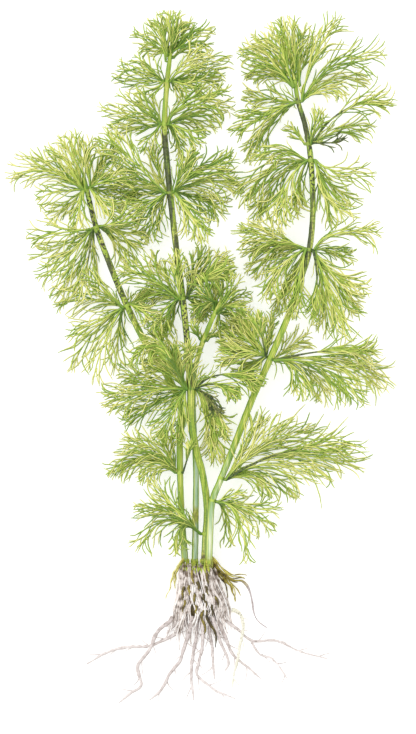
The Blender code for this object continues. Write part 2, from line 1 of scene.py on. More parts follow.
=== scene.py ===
import bpy
import numpy as np
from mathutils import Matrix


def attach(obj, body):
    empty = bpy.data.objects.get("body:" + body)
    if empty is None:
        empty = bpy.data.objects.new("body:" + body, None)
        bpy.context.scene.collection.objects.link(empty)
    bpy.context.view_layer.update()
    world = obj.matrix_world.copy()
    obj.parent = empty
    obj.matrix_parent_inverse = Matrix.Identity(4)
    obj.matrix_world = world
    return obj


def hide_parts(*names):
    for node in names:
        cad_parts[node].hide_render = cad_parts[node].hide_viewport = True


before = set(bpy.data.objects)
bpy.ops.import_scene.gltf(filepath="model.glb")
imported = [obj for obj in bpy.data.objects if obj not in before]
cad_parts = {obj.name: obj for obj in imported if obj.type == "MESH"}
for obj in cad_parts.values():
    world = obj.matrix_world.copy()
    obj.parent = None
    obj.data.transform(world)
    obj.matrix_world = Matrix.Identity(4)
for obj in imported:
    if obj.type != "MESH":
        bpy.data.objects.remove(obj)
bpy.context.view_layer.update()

MM = 0.001
SEED = 7
rng = np.random.default_rng(SEED)
UP = (0.0, 0.0, 1.0)

# Clearance between a stem and the ring round it, and between leaves that lie on each other.
GAP = 0.3
LEAF_GAP = 0.5

# Stems, from the crown to the tip: x, y, z of the middle and the radius.
STEMS = {
    "centre_stem": (
        (1.5, -150, 13, 2.6), (2.5, -132, 13, 2.5), (3.6, -108, 14, 2.5), (0.5, -85, 16, 2.5),
        (-4.5, -66, 18, 2.6), (-8, -45, 20, 2.7), (-8, -23, 21, 2.8), (-10, 5, 21, 2.3),
        (-14, 42, 22, 2.3), (-17.5, 70, 22, 2.2), (-23, 118, 21, 2.2), (-27, 167, 21, 2.0),
        (-25, 198, 22, 1.8), (-22.5, 218, 23, 1.4)),
    "left_stem": (
        (-12, -150, 9, 2.5), (-14, -124, 9, 2.3), (-15.5, -95, 10, 2.2), (-16, -60, 11, 2.4),
        (-14.5, -40, 11, 2.5), (-22, -19, 12, 2.4), (-40, 9, 15, 2.4), (-54, 37, 17, 2.2),
        (-66, 66, 18, 2.1), (-76, 93, 18, 2.0), (-83, 121, 18, 1.7), (-85, 130, 18, 1.3)),
    "right_stem": (
        (4.6, -150, 19.5, 2.7), (5.6, -124, 20, 2.5), (7.2, -104, 20, 2.4), (13.7, -87, 20, 2.3),
        (24.5, -60, 18, 2.4), (36.5, -29, 14, 2.4), (49, -1, 18, 2.4), (62, 30, 20, 2.3),
        (72, 60, 20, 2.2), (77, 77, 20, 2.1), (79.5, 105, 20, 2.0), (78, 142, 20, 2.0),
        (74, 166, 20, 1.8), (69, 183, 20, 1.7), (66.5, 199, 20, 1.3)),
    "side_shoot": (
        (-5.3, -150, 8, 2.3), (-4.6, -115, 8, 2.2), (-4.4, -80, 8.5, 2.1), (-6.2, -45, 9.5, 2.0),
        (-6, -15, 11, 1.9), (-1.5, 5, 16, 1.8), (5, 22, 20, 1.7), (10.5, 34, 22, 1.5)),
}
STEM_STEP = 26

# Whorls: the stem, the height up the plant, how finely the leaves are divided, and for each leaf a
# point that it passes, its tip in plan, the height of its tip, the reach of its longest side lobes,
# and its state if it isn't green. A tip height of 0 is a leaf pressed flat on the surface.
WHORLS = {
    "centre_top_tuft": ("centre_stem", 215, 0.85, (
        (-36, 224, -52, 232, 14, 8), (-32, 231, -41, 241, 26, 6), (-27, 234, -31, 248, 36, 5),
        (-23, 236, -22, 249, 24, 5), (-19, 234, -14, 248, 38, 5), (-14, 231, -5, 243, 24, 6),
        (-9, 228, 10, 236, 32, 7), (-9, 222, 9, 224, 12, 7), (-34, 219, -46, 220, 6, 5))),
    "centre_whorl_1": ("centre_stem", 198, 0.7, (
        (-38, 207, -48, 218, 30, 8), (-44, 206, -61, 212, 15, 9), (-45, 199, -66, 203, 0, 7),
        (-36, 191, -49, 190, 30, 5), (-13, 207, 8, 219, 36, 8, "yellowed"), (-3, 207, 23, 215, 16, 8),
        (-4, 200, 18, 202, 0, 8), (-10, 195, 6, 191, 30, 7), (-17, 190, -11, 180, 12, 5))),
    "centre_whorl_2": ("centre_stem", 167, 0.76, (
        (-43, 178, -62, 190, 32, 9), (-50, 174, -76, 179, 15, 8), (-47, 166, -70, 164, 0, 8),
        (-36, 181, -45, 194, 0, 6), (-37, 157, -46, 147, 28, 6), (-12, 181, 22, 190, 32, 8),
        (0, 179, 24, 176, 14, 9), (-5, 171, 12, 162, 0, 8), (-11, 161, 2, 150, 30, 7),
        (-17, 154, -13, 140, 10, 4))),
    "centre_whorl_3": ("centre_stem", 118, 1.35, (
        (-46, 137, -72, 165, 32, 10), (-48, 127, -74, 138, 14, 10), (-46, 118, -68, 113, 0, 9),
        (-40, 108, -60, 95, 28, 9), (-34, 102, -43, 80, 12, 8), (-33, 137, -37, 158, 0, 6),
        (-13, 134, -4, 150, 38, 6), (-2, 132, 28, 142, 24, 8), (2, 125, 33, 122, 12, 9),
        (-1, 113, 19, 99, 0, 9), (-9, 103, 3, 79, 30, 8))),
    "centre_whorl_4": ("centre_stem", 42, 1.6, (
        (-36, 55, -61, 68, 30, 9), (-28, 58, -40, 76, 12, 8), (-34, 44, -47, 39, 0, 7),
        (-27, 33, -40, 18, 26, 8), (-22, 32, -29, 12, 10, 6), (-2, 54, 25, 64, 32, 8, "dark_stalk"),
        (-5, 60, 6, 80, 12, 8), (0, 58, 22, 76, 18, 7), (-18, 62, -16, 78, 30, 5), (-3, 38, 5, 25, 0, 6))),
    "centre_whorl_5": ("centre_stem", -23, 1.65, (
        (-32, 7, -52, -8, 36, 6), (-24, -3, -34, 14, 24, 7), (-22, 3, -42, 20, 10, 7),
        (-28, -9, -46, -4, 30, 7), (-10, -3, -6, 14, 30, 5), (-36, -17, -62, -16, 14, 8),
        (-40, -25, -74, -35, 24, 9), (-34, -34, -60, -47, 12, 10), (-23, -42, -34, -62, 28, 7),
        (-14, -43, -18, -64, 20, 6), (-17, -6, -17, 10, 34, 5), (14, -13, 47, -19, 26, 7, "dark_stalk"),
        (13, -20, 28, -31, 34, 6, "dark_stalk"), (6, -31, 13, -43, 24, 5, "decayed"),
        (9, -40, 18, -62, 18, 5), (6, -50, 9, -80, 12, 7))),
    "base_leaf": ("centre_stem", -127, 1.2, (
        (-24, -113, -50, -107, 17, 8), (-20, -107, -37, -87, 26, 7), (-28, -118, -46, -142, 9.5, 9),
        (-14, -122, -20, -144, 18, 5))),
    "left_top_whorl": ("left_stem", 121, 1, (
        (-112, 133, -142, 129, 14, 8), (-105, 134, -127, 145, 0, 8), (-98, 139, -113, 152, 26, 7),
        (-93, 143, -103, 161, 10, 7), (-88, 144, -92, 164, 34, 6), (-82, 142, -79, 160, 18, 6),
        (-74, 135, -62, 158, 0, 7), (-66, 128, -45, 136, 26, 8), (-66, 119, -44, 118, 0, 8),
        (-70, 108, -58, 97, 28, 7), (-103, 118, -120, 112, 24, 8), (-98, 107, -113, 96, 0, 8),
        (-89, 104, -91, 86, 26, 6))),
    "left_whorl_2": ("left_stem", 93, 0.9, (
        (-99, 89, -127, 86, 26, 7), (-100, 80, -126, 71, 0, 9), (-97, 71, -120, 56, 28, 9),
        (-90, 64, -109, 40, 0, 9), (-84, 62, -95, 38, 24, 8, "dark_stalk"), (-77, 64, -77, 42, 0, 6),
        (-60, 97, -40, 106, 28, 8), (-58, 90, -36, 84, 14, 8), (-58, 80, -46, 62, 0, 8))),
    "left_whorl_3": ("left_stem", 37, 0.78, (
        (-72, 50, -88, 61, 26, 7), (-80, 41, -108, 35, 0, 8), (-78, 24, -98, 12, 24, 8),
        (-82, 12, -95, -12, 0, 9), (-70, 10, -78, -21, 22, 9), (-61, 12, -63, -14, 0, 6),
        (-41, 45, -30, 50, 0, 6), (-42, 32, -31, 24, 26, 6))),
    "left_whorl_4": ("left_stem", -83, 1.7, (
        (-32, -68, -60, -58, 18, 8), (-42, -73, -68, -87, 0, 8), (-33, -80, -45, -92, 18, 7),
        (-24, -66, -29, -48, 0, 6), (-10, -71, -8, -58, 26, 3, "dark_stalk"))),
    "right_top_tuft": ("right_stem", 197, 0.85, (
        (47, 204, 28, 202, 0, 7), (45, 213, 24, 218, 22, 8), (48, 221, 34, 231, 12, 8),
        (55, 224, 47, 240, 30, 7), (61, 226, 57, 245, 14, 6), (66, 226, 67, 245, 36, 6),
        (71, 222, 77, 240, 20, 6), (74, 212, 83, 224, 6, 6))),
    "right_whorl_1": ("right_stem", 183, 1, (
        (96, 209, 134, 217, 28, 8), (95, 200, 122, 196, 0, 9), (81, 216, 101, 246, 34, 7),
        (90, 192, 104, 184, 26, 5), (48, 186, 28, 188, 0, 8), (42, 172, 18, 160, 24, 8),
        (46, 165, 31, 138, 0, 8))),
    "right_whorl_2": ("right_stem", 153, 1, (
        (105, 178, 141, 182, 28, 8, "dark_stalk"), (102, 164, 127, 166, 0, 7), (81, 165, 87, 179, 34, 5),
        (92, 154, 105, 157, 30, 4, "decayed"), (68, 160, 59, 168, 10, 4))),
    "right_whorl_3": ("right_stem", 141, 1.02, (
        (55, 148, 35, 138, 30, 7), (46, 132, 26, 106, 14, 9), (52, 124, 40, 94, 0, 9),
        (60, 120, 56, 86, 28, 8), (69, 121, 69, 98, 8, 5), (98, 133, 126, 131, 26, 8),
        (95, 122, 117, 111, 0, 8), (92, 115, 114, 99, 28, 6), (89, 112, 94, 90, 12, 6))),
    "right_whorl_4": ("right_stem", 77, 1.25, (
        (50, 86, 20, 90, 26, 8), (50, 80, 27, 72, 16, 6), (52, 74, 34, 57, 10, 8), (56, 62, 42, 38, 28, 8),
        (62, 54, 52, 28, 0, 7), (69, 53, 66, 26, 24, 6), (97, 89, 131, 88, 28, 7), (95, 76, 112, 68, 0, 6),
        (99, 57, 123, 47, 26, 8), (97, 50, 118, 28, 0, 9), (93, 43, 107, 9, 26, 8), (87, 42, 90, 11, 8, 7),
        (82, 56, 80, 22, 32, 5, "dark_stalk"))),
    "right_whorl_5": ("right_stem", -1, 1.6, (
        (43, 14, 38, 34, 30, 7, "dark_stalk"), (48, 16, 50, 34, 16, 5), (37, 13, 24, 38, 14, 7),
        (33, 14, 14, 28, 0, 9), (31, 7, 9, 13, 18, 7), (30, 2, 8, -2, 26, 9), (34, -7, 21, -13, 0, 5),
        (66, 10, 80, 17, 0, 7, "yellowed"), (92, 4, 131, 2, 26, 7, "dark_stalk"), (97, -3, 139, -24, 0, 10),
        (88, -9, 118, -37, 28, 10), (77, -11, 92, -37, 0, 9), (66, -9, 74, -32, 26, 7))),
    "right_whorl_6": ("right_stem", -87, 1, (
        (34, -58, 47, -36, 14, 6), (42, -62, 67, -42, 28, 8), (48, -64, 92, -52, 0, 9),
        (64, -67, 121, -66, 28, 10, "dark_stalk"), (62, -71, 118, -84, 0, 10), (50, -77, 92, -90, 26, 9),
        (44, -84, 72, -103, 0, 9), (36, -87, 52, -102, 24, 6))),
    "right_whorl_7": ("right_stem", -103, 0.75, (
        (22, -99, 33, -98, 28, 4), (36, -108, 59, -108, 26, 6), (33, -112, 52, -129, 0, 8),
        (25, -114, 35, -149, 26, 7), (17, -114, 20, -138, 0, 4))),
    "side_shoot_leaves": ("side_shoot", 12, 1, (
        (-5, 19, -9, 27, 26, 3), (10, 16, 20, 17, 12, 4))),
    "side_shoot_tuft": ("side_shoot", 32, 1, (
        (4, 45, -3, 60, 32, 6), (9, 48, 5, 64, 24, 5), (12, 48, 13, 64, 16, 6), (19, 47, 25, 61, 36, 7),
        (25, 42, 37, 43, 18, 6), (23, 36, 36, 32, 30, 5), (21, 30, 31, 20, 0, 7), (12, 25, 13, 14, 14, 5),
        (1, 36, -10, 33, 22, 5), (1, 32, -7, 25, 8, 6))),
}

# The ring that a whorl grows from. Leaves start at ROOTED_SHARE of its wall, and a leaf that
# rises also starts higher up round it, by TURN_UP.
COLLAR_WALL = 1.6
COLLAR_LENGTH = 4.5
ROOTED_SHARE = 0.7
TURN_UP = 0.6

# Leaf blades: a stalk, then pairs of pointed lobes and an end lobe, with a ridge on top.
# A leaf with its tip below UNDER_HEIGHT goes down steeply, to lie under the stems.
STALK_SHARE = 0.28
END_LOBE_SHARE = 0.80
STALK_HALF_WIDTH = 0.9
RIDGE = 1.5
BASE_DROP = 0.75 * RIDGE
LOBE_LEAD = 0.75
LOBE_DROOP = 0.12
LOBE_FALL = 6
SHORT_LEAF = 44
LONG_LEAF_SIZES = (1.0, 0.85)
SHORT_LEAF_SIZES = (0.95,)
UNDER_HEIGHT = 9
UNDER_STEEPNESS = 4
OVER_STEEPNESS = 2

# Roots: x, y, z of the route, radius at the crown and at the tip.
ROOTS = {
    "root_left_long": ((
        (-11.5, -186.4, 4.2), (-11.8, -190, 4.1), (-14.5, -195, 3.8), (-21, -200.5, 3),
        (-38, -208, 1.8), (-52, -209, 1.5), (-66, -212, 1.3), (-83, -221, 1)), 1.6, 0.8),
    "root_left_outer": ((
        (-21.4, -186.4, 5.2), (-23, -190, 5.2), (-32, -197, 5.6), (-37.5, -209, 5), (-47, -222, 2),
        (-44, -235, 1.5), (-52, -242, 1.3), (-60, -249, 1)), 1.7, 0.8),
    "root_left_inner": ((
        (-7.2, -186.4, 6.8), (-7.8, -191, 6.8), (-10, -200, 6.2), (-13, -208, 4), (-17, -220, 2),
        (-24, -228, 1.6), (-30, -240, 1.4), (-38, -247, 1)), 1.7, 0.8),
    "root_left_short": ((
        (-17.2, -186.4, 3.4), (-17.4, -189.5, 3.3), (-20, -193, 2.6), (-25.5, -199, 1)), 1.4, 0.7),
    "root_middle_left": ((
        (-3.4, -186.4, 3.8), (-3.6, -192, 3.4), (-4.5, -205, 2.5), (-8, -225, 1.5), (-6, -247, 1)), 1.6, 0.8),
    "root_middle_crossing": ((
        (0, -186.4, 7.4), (0.2, -192, 7.2), (0.5, -205, 6), (-1.5, -219, 2.5), (-2.5, -229, 1.6),
        (9.5, -239, 1.4), (24, -246, 1)), 1.5, 0.7),
    "root_middle": ((
        (3.8, -186.4, 3.6), (4.5, -192, 3.2), (7, -207, 2), (9, -232, 1)), 1.5, 0.7),
    "root_right_hooked": ((
        (7.6, -186.4, 7), (8.6, -191, 6.8), (12.5, -204, 5), (18.5, -219, 1.5), (16.5, -226, 1)), 1.4, 0.7),
    "root_right_bowed": ((
        (21.3, -182, 8.2), (24.5, -182.6, 8.2), (28, -186, 8), (29.5, -193, 7.6), (28.5, -203, 7),
        (25.5, -218, 5.5), (22.5, -230, 1.6), (21.6, -240, 1)), 1.5, 0.7),
    "root_right_low": ((
        (11.8, -186.4, 3), (12, -190, 2.9), (18, -205, 1.6), (24, -216, 1.4), (35, -225, 1.2),
        (43, -232, 1)), 1.5, 0.7),
    "root_right_long": ((
        (16, -186.4, 4.8), (16.2, -189, 4.8), (25, -195, 3.6), (36, -203.5, 2), (54, -203.5, 1.6),
        (70, -211, 1.4), (91, -217.5, 1)), 1.7, 0.8),
    "root_right_fork": ((
        (36.8, -206.9, 1.6), (42, -214, 1.4), (51, -217, 1.2), (57, -225, 1.1), (62, -233, 1)), 1.1, 0.7),
    "root_olive_long": ((
        (12, -152, 12), (16, -156, 11), (22, -160.5, 8), (29, -161.5, 4), (34, -167, 2),
        (36, -177, 1.4), (40, -190, 1.2), (47, -195, 1)), 1.4, 0.7),
    "root_olive_stub": ((
        (12.6, -156, 8), (17, -160.5, 6), (21.5, -167, 3), (24, -176, 1.2)), 1.5, 0.9),
    "root_yellow": ((
        (-18.3, -152, 9), (-21, -157, 6), (-22.5, -164, 3), (-26, -174, 1.1)), 1.0, 0.7),
}

# Crown and the matted bases of the roots: y of each section, then middle x and z, half width
# and half height.
CROWN = (
    (-150.3, -3.8, 13.2, 11.5, 9.6), (-153, -3.6, 12.8, 13, 10.4), (-158, -3, 11.6, 13.8, 10.2),
    (-166, -2, 9.4, 16, 8.4), (-175, -0.6, 7.2, 19.3, 6.4), (-183, -0.5, 5.3, 22, 4.6),
    (-186, -0.5, 4.8, 21.5, 3.9))

# The pile of leaves is kept as heights on a square grid in plan. A stem is sampled every
# STEM_SAMPLE along it, in STEM_STRIPS strips across it, and a face in TRIANGLE_SAMPLES steps.
# A leaf is lifted until it is at most LIFT_ENOUGH short of clearing what lies under it; a corner
# is lifted for the samples that take more than LIFT_SHARE of their height from it.
CELL = 1.0
BARE = -1.0
STEM_SAMPLE = 0.7
STEM_STRIPS = 9
GRID_HALF = (160, 260)
TRIANGLE_SAMPLES = 14
LIFT_ROUNDS = 40
LIFT_ENOUGH = 0.05
LIFT_SHARE = 0.25
COLLAR_ZONE = 10

# Marks on the stems: how strong each is at a height up the plant, in millimetres. Pale is the stems' own
# whitish colour near the crown, which the finish lays mostly along their middle as a painted highlight.
STEM_MARKS = {
    "centre_stem": {
        "dark": ((-60, 0), (-30, 0.1), (-18, 0.5), (0, 0.5), (8, 0.25), (60, 0.35), (72, 0.6), (116, 0.75),
                 (121, 0.95), (158, 0.9), (166, 0.2), (196, 0.2), (218, 0)),
        "speckle": ((-40, 0.2), (0, 0.3), (5, 1), (38, 1), (44, 0.7), (60, 1), (66, 0.5), (165, 0.6),
                    (170, 0)),
        "pale": ((-150, 0.2), (-125, 0.1), (-95, 0)),
        "sheath": ((-150, 1), (-143, 0.8), (-137, 0))},
    "left_stem": {
        "dark": ((28, 0), (40, 0.25), (55, 0.4), (58, 0.95), (68, 0.95), (78, 0.3), (115, 0.35), (121, 0.1)),
        "speckle": ((10, 0), (30, 0.7), (56, 1), (66, 0.5), (80, 1), (115, 1), (121, 0)),
        "pale": ((-152, 0.8), (-143, 0.6), (-130, 0.25), (-105, 0)),
        "sheath": ((-121, 0), (-114, 0.5), (-110, 0.5), (-102, 0))},
    "right_stem": {
        "dark": ((-90, 0), (26, 0.15), (40, 0.7), (72, 0.8), (84, 0.6), (118, 0.75), (124, 0.25),
                 (150, 0.45), (156, 1), (183, 1), (190, 0.2)),
        "speckle": ((40, 0), (60, 0.5), (115, 0.5), (122, 1), (150, 1), (156, 0.5), (183, 0.4), (190, 0)),
        "pale": ((-150, 0.2), (-144, 0.6), (-112, 0.75), (-104, 0.5), (-80, 0.4), (-60, 0)),
        "sheath": ((-150, 0.9), (-145, 0.4), (-141, 0))},
    "side_shoot": {
        "dark": ((-150, 0),),
        "speckle": ((-150, 0),),
        "pale": ((-150, 1), (-121, 1), (-118, 0.2), (-110, 0.2), (-107, 1), (-78, 1), (-50, 0.7),
                 (-10, 0.35), (0, 0)),
        "sheath": ((-121, 0), (-115, 0.7), (-112, 0.7), (-106, 0))},
}

# How yellow the leaves of each stem are, from 0 for deep green to 1.
STEM_SHADES = {"centre_stem": 0.46, "left_stem": 0.58, "right_stem": 0.56, "side_shoot": 0.42}

# Points that lead a root out of what it grows from: the olive and yellow ones out of the crown,
# beside the feet of the stems, and the fork out of the long root.
ROOT_STARTS = {
    "root_right_fork": ((35.2, -203.4, 2.1),),
    "root_olive_long": ((6.5, -143.5, 15), (9.2, -147.5, 14)),
    "root_olive_stub": ((6, -147, 14), (9.5, -152, 12)),
    "root_yellow": ((-13, -144.5, 11), (-16, -148, 10.5))}

# Roots that look thinner than their solids, and how thick they are as a share of them.
SLENDER_ROOTS = {"root_right_long": 0.72, "root_right_fork": 0.8}

# Olive and yellow roots: number of strands, how far they part, where the first of them ends, and
# whether the longest turns grey beyond that.
BUNDLES = {
    "root_olive_long": (5, 4.4, 0.36, 1),
    "root_olive_stub": (4, 4, 0.75, 0),
    "root_yellow": (3, 2.6, 0.75, 0)}

# Dark strands on the crown: short ones by x and y of their middles, long ones by those of their ends.
DARK_DASHES = (
    (-9.4, -167.8), (-5, -173.5), (-0.7, -164.9), (6.5, -167.8), (12.2, -175), (-3.6, -182.2),
    (7.9, -182.2), (-12, -178), (2, -176), (-14, -170), (10, -160), (-6, -158))
LONG_DARK_ENDS = ((4.3, -209), (1, -203))

# Tubes by their kind: corners round one, its height over its width, and its ridges; and the number
# of points along each that follows no route, along the run of a leaf and between two leaves.
SECTIONS = {
    "thread": (4, 0.75, 0), "stalk": (6, 0.75, 0), "stem": (36, 1.0, 9), "stem_tip": (8, 1.0, 0),
    "fibre": (7, 1.0, 0), "root": (10, 1.0, 0), "bundle": (8, 1.0, 0), "rootlet": (5, 1.0, 0),
    "strand": (7, 1.0, 0), "core": (24, 1.0, 0)}
POINTS = {
    "run": 60, "stalk": 14, "thread": 10, "between": 12, "stem_tip": 8, "joint": 9, "fibre": 12,
    "rootlet": 9, "strand": 26}

# Profiles: places, mostly shares of a length from its foot to its tip, and the value at each.
PROFILES = {
    "thick_stalk": ((0, 0.06, 0.3, 0.9, 1), (1.17, 0.9, 0.6, 0.42, 0.2)),
    "thin_stalk": ((0, 0.06, 0.3, 0.9, 1), (0.91, 0.7, 0.6, 0.42, 0.2)),
    "dark_stalk": ((0, 0.45, 0.62), (1, 1, 0)),
    "bare_by_length": ((55, 90), (0.07, 0.22)),
    "fan": ((0.03, 0.3, 0.75), (1.05, 1.1, 0.55)),
    "branch": ((0, 0.88, 1), (1.0, 0.9, 0.4)),
    "free_thread": ((0, 0.3, 0.85, 1), (1.2, 0.9, 0.7, 0.3)),
    "fibre": ((0, 0.2, 0.7, 1), (0.3, 0.75, 0.6, 0.2)),
    "bundle": ((0, 0.5, 1), (0.6, 0.85, 0.4)),
    "bundle_grey": ((0.4, 0.55), (0, 1)),
    "root": ((0, 0.9, 1), (1, 1, 0.5)),
    "root_tint": ((0, 1), (0.35, 0.75)),
    "root_dark": ((0, 0.5, 1), (0.9, 0.5, 0.2)),
    "rootlet": ((0, 0.2, 1), (0.5, 0.32, 0.16)),
    "strand": ((0, 0.15, 0.6, 0.85, 1), (0.6, 1, 0.85, 0.5, 0.2)),
    "strand_tint": ((0.04, 0.3), (0, 1)),
    "core_by_y": ((-186, -163), (0.5, 0.8)),
}

# The bounds that a random draw lies between.
BOUNDS = {
    "whole": (0, 1), "phase": (0, 6), "waves": (4, 9),
    "leaf_rise": (-0.4, 1), "branch_shift": (-0.35, 0.35), "branch_size": (0.75, 1.15),
    "branch_end": (0.84, 1.0), "fan": (0.55, 1.15), "bow": (0.3, 0.65), "lift": (-0.8, 1.8),
    "decayed_dark": (0.8, 1), "fork_shift": (-0.07, 0.07), "fork_angle": (0.14, 0.42),
    "fork_bend": (-0.1, 0.5), "between_shift": (-0.3, 0.3), "between_reach": (0.35, 0.8),
    "free_angle": (0.3, 0.6), "free_bend": (-0.5, 0.5), "free_size": (0.8, 1.2),
    "fibre_length": (6, 11), "fibre_stray": (-2, 2),
    "twist": (-2, 2), "bundle_knobs": (25, 40), "bundle_waves": (16, 26), "bundle_tint": (0.5, 0.9),
    "rootlet_length": (5, 13), "rootlet_angle": (0.4, 1.0), "rootlet_bend": (-0.7, 0.7),
    "rootlet_tint": (0.1, 0.8),
    "cosine": (-1, 1), "strand_top": (-157, -147), "strand_radius": (0.4, 1.0),
    "strand_depth": (0.86, 1.05), "strand_waves": (4, 10), "strand_knobs": (20, 35),
    "strand_tint": (0.1, 0.9), "dash_half": (3, 6), "dash_radius": (0.8, 1.25),
}

# Leaves: crowding and girth of the threads of a leaf on the side of the plant's middle and of one
# on the outer side, the form of the blade that they follow, and the differences between threads.
PLANT_MIDDLE = 5
INWARD = (1.14, 0.54)
OUTWARD = (0.86, 0.49)
EDGE_CURVE = 1.5
FOOT_RUN = 14
LOWEST_THREAD = 0.45
TONES = (-0.34, 0.3)
TONE_NOISE = 0.12
SHADE_NOISE = 0.08
YELLOWED_SHADE = 0.4
THICK_STALK_FROM = 40
STALK_SWAYS = 5
STALK_REACH = 0.99
STALK_TINT = 0.8

# Branches of a leaf, whose number, places and reach follow from its length.
BRANCHES_AT_LEAST = 3.6
BRANCH_SPACING = 11
DECAYED_LOSS = 0.25
DECAYED_LIFT = 5
DARK_STALK_BARE = 0.36
FIRST_BRANCH = 0.04
LAST_BRANCH = 0.73
BRANCH_REACH = 0.64
BRANCH_REACH_LOSS = 0.42
END_PAIR = ((0.78, 0.0), (0.88, 0.8), (0.985, 2.8))
END_PAIR_GIRTH = 0.42
WAVE_HEIGHT = 0.04
CURL_LEAN = 0.05
CURL_NOISE = 0.16
CURL_START = 0.45
CURL_STRENGTH = 3.3
LIFT_ARCH = 2.4
TINT_PER_REACH = 0.6
TINT_PER_BRANCH = 0.35

# Forks of a branch, by its order: their places on it, and how often one is skipped.
FORKS = {1: ((0.2, 0.4, 0.6), 0.35), 2: ((0.4,), 0.85)}
LAST_ORDER = 3
SHORTEST_FORKED = 7
FORK_REACH = 0.86
FORK_REACH_LOSS = 0.5
SECOND_FORK_REACH = 0.55
LONGEST_FORK = 18
SAME_SIDE = 0.6
FORK_GIRTH = 0.94
FORK_TIP = 0.995

# Threads that leave the stem between two leaves: the widest gap and the turn that each takes, in
# radians, and the shares of a gap that has the stem in it; and their forks.
WIDEST_GAP = 2.4
THREAD_TURN = 0.2
MOST_BETWEEN = 3
STEM_GAP = 0.9
STEM_GAP_SHARES = (0.1, 0.27, 0.44, 0.6, 0.75, 0.9)
LONG_STALK = 65
LONGEST_BETWEEN = 40
BETWEEN_GIRTH = 0.52
JOINT_ZONE = 9
STEM_CLEARANCE = 3.5
BESIDE_STEP = 2.0
FREE_WAVE = 0.045
FREE_TINT = {1: 0.8, 2: 1}
FREE_FORKS = (0.34, 0.52, 0.72)
FREE_FORK_SKIPPED = 0.25
FREE_FORK_REACH = 0.75
FREE_FORK_REACH_LOSS = 0.5
FREE_FORK_GIRTH = 0.44
LONGEST_FREE_FORK = 14

# Stems: their tips, the joint of each whorl, their swelling, and the fibres at their feet.
TIP_RISE = 9
TIP_TAPER = 0.75
TIP_TINT = 0.2
TIP_ALONG = 0.45
JOINT_HALF_LENGTH = 1.2
JOINT_SWELL = 0.2
JOINT_SWELL_LENGTH = 0.7
JOINT_CLEARANCE = 0.02
JOINT_MARKS = {"tint": 0.35, "along": 0.3}
JOINT_DARK = 0.6
RIDGE_HEIGHT = 0.05
STEM_SAMPLE_STEP = 1.0
STEM_SWELL = 0.02
STEM_SWELL_TURNS = (0.7, 0.23)
FIBRES = 7
FIBRE_SHIFT = 0.15
FIBRE_START = 5
FIBRE_INSET = 0.9
FIBRE_LIFT = 0.4
SINK_FROM = 3.5
SINK_LENGTH = 3
CROWN_EDGE = 0.95

# Roots, in steps of ROOT_STEP along them, with their knobs, their wandering and their rootlets.
ROOT_STEP = 0.8
ROOT_CLEARANCE = 0.02
KNOB_STEP = 3
KNOB_NOISE = 0.12
WANDER_NOISE = 0.12
WANDER_RISE = 0.3
MOST_WANDER = 0.7
ROOT_TINT_NOISE = 0.08
FIRST_ROOTLET = (12, 22)
ROOTLET_SPACING = (12, 20)
BARE_ROOT_END = 6
LOWEST_ROOTLET = 0.3
ROOTLET_DARK = 0.3
BUNDLE_REACH = 1.3
BUNDLE_PARTING = ((0.2, 0), (0.8, 0.7), (0.6, 6))
BUNDLE_FLATNESS = 0.5
BUNDLE_STRAND = 0.75
BUNDLE_KNOB = 0.22
BUNDLE_WAVE = 0.5
BUNDLE_DARK_TINT = 0.1

# The mat of the crown: STRANDS strands, of which STRANDS_ABOVE in STRANDS_IN_TURN lie on top.
STRANDS = 170
STRANDS_IN_TURN = 5
STRANDS_ABOVE = 3
STRAND_END = (-215, -188, -174)
STRAND_SWING = 0.005
STRAND_WAVE = 0.0022
STRAND_KNOB = 0.12
DASH_DEPTH = 1.09
LONG_DARK_TOP = -182
LONG_DARK_RADIUS = 1.1
LONG_DARK_DEPTH = 1.1
CROWN_HALF_WIDTH = 22
CROWN_BOTTOM = -186
PARTING_BELOW = 0.016
SINKING_BELOW = 0.2
CORE_TINT = 0.3

# Colours. A ramp is a row of shares, each with its colour; a root finish has its dark, middle and
# light colours, and how strongly its dark colour is painted as shade on the flank that faces down the plant.
LEAF_GREENS = ((0.1, "7A9F38"), (0.3, "A6C048"), (0.5, "CDD666"), (0.85, "EFEB92"))
# Painted shade on one flank of the leaf threads.
LEAF_PAINTED_SHADE = "4F7222"
LEAF_JOINT = "5D8A2C"
LEAF_DECAYED = "2C3A22"
STEM_GREENS = ((0.34, "7C9E2C"), (0.5, "A9BE3A"), (0.64, "CFD268"))
# Whitish stem colour, also the painted highlight along the middle of pale stems.
STEM_WHITES_AND_HIGHLIGHT = ((0.34, "7FA97C"), (0.5, "BCD2B8"), (0.64, "F0F4EA"))
# Painted shade in the grooves of the stems.
STEM_GROOVE_SHADE = "5F8A36"
# Painted shade on the flanks of the stems.
STEM_FLANK_SHADE = "4C7F34"
HUSKS = ((0.36, "5C4A1E"), (0.46, "8E8A34"), (0.62, "C2BE4E"))
STEM_STREAK = "3A4226"
STEM_SPECK = "1B200E"
ROOT_FINISHES = {
    "pale root": ("978A84", "CDC2BE", "ECE5E2", 0.6),
    "olive root": ("33290F", "9A8A2A", "CFC561", 1.0),
    "yellow root": ("B3A945", "D9D272", "F0EAB4", 0.6),
    "cream root": ("BDB9A0", "E2DFCB", "F4F2E6", 0.6),
    "matted root": ("6A5846", "E8DED7", "FFFDFA", 0.62),
    "dark matted root": ("1F1B0E", "5A4E22", "A8983E", 0.95),
    "crown core": ("2E2A18", "6A5B2C", "A08F4A", 0.6),
}
SPECIAL_ROOTS = {"root_yellow": "yellow root", "root_right_bowed": "cream root"}
ROOT_GREY = "B9ADAD"
ROOT_SPECK = "4A3C2C"
LEAF_MARKS = ("tint", "along", "dark")
ROOT_MARKS = ("tint", "dark", "grey")

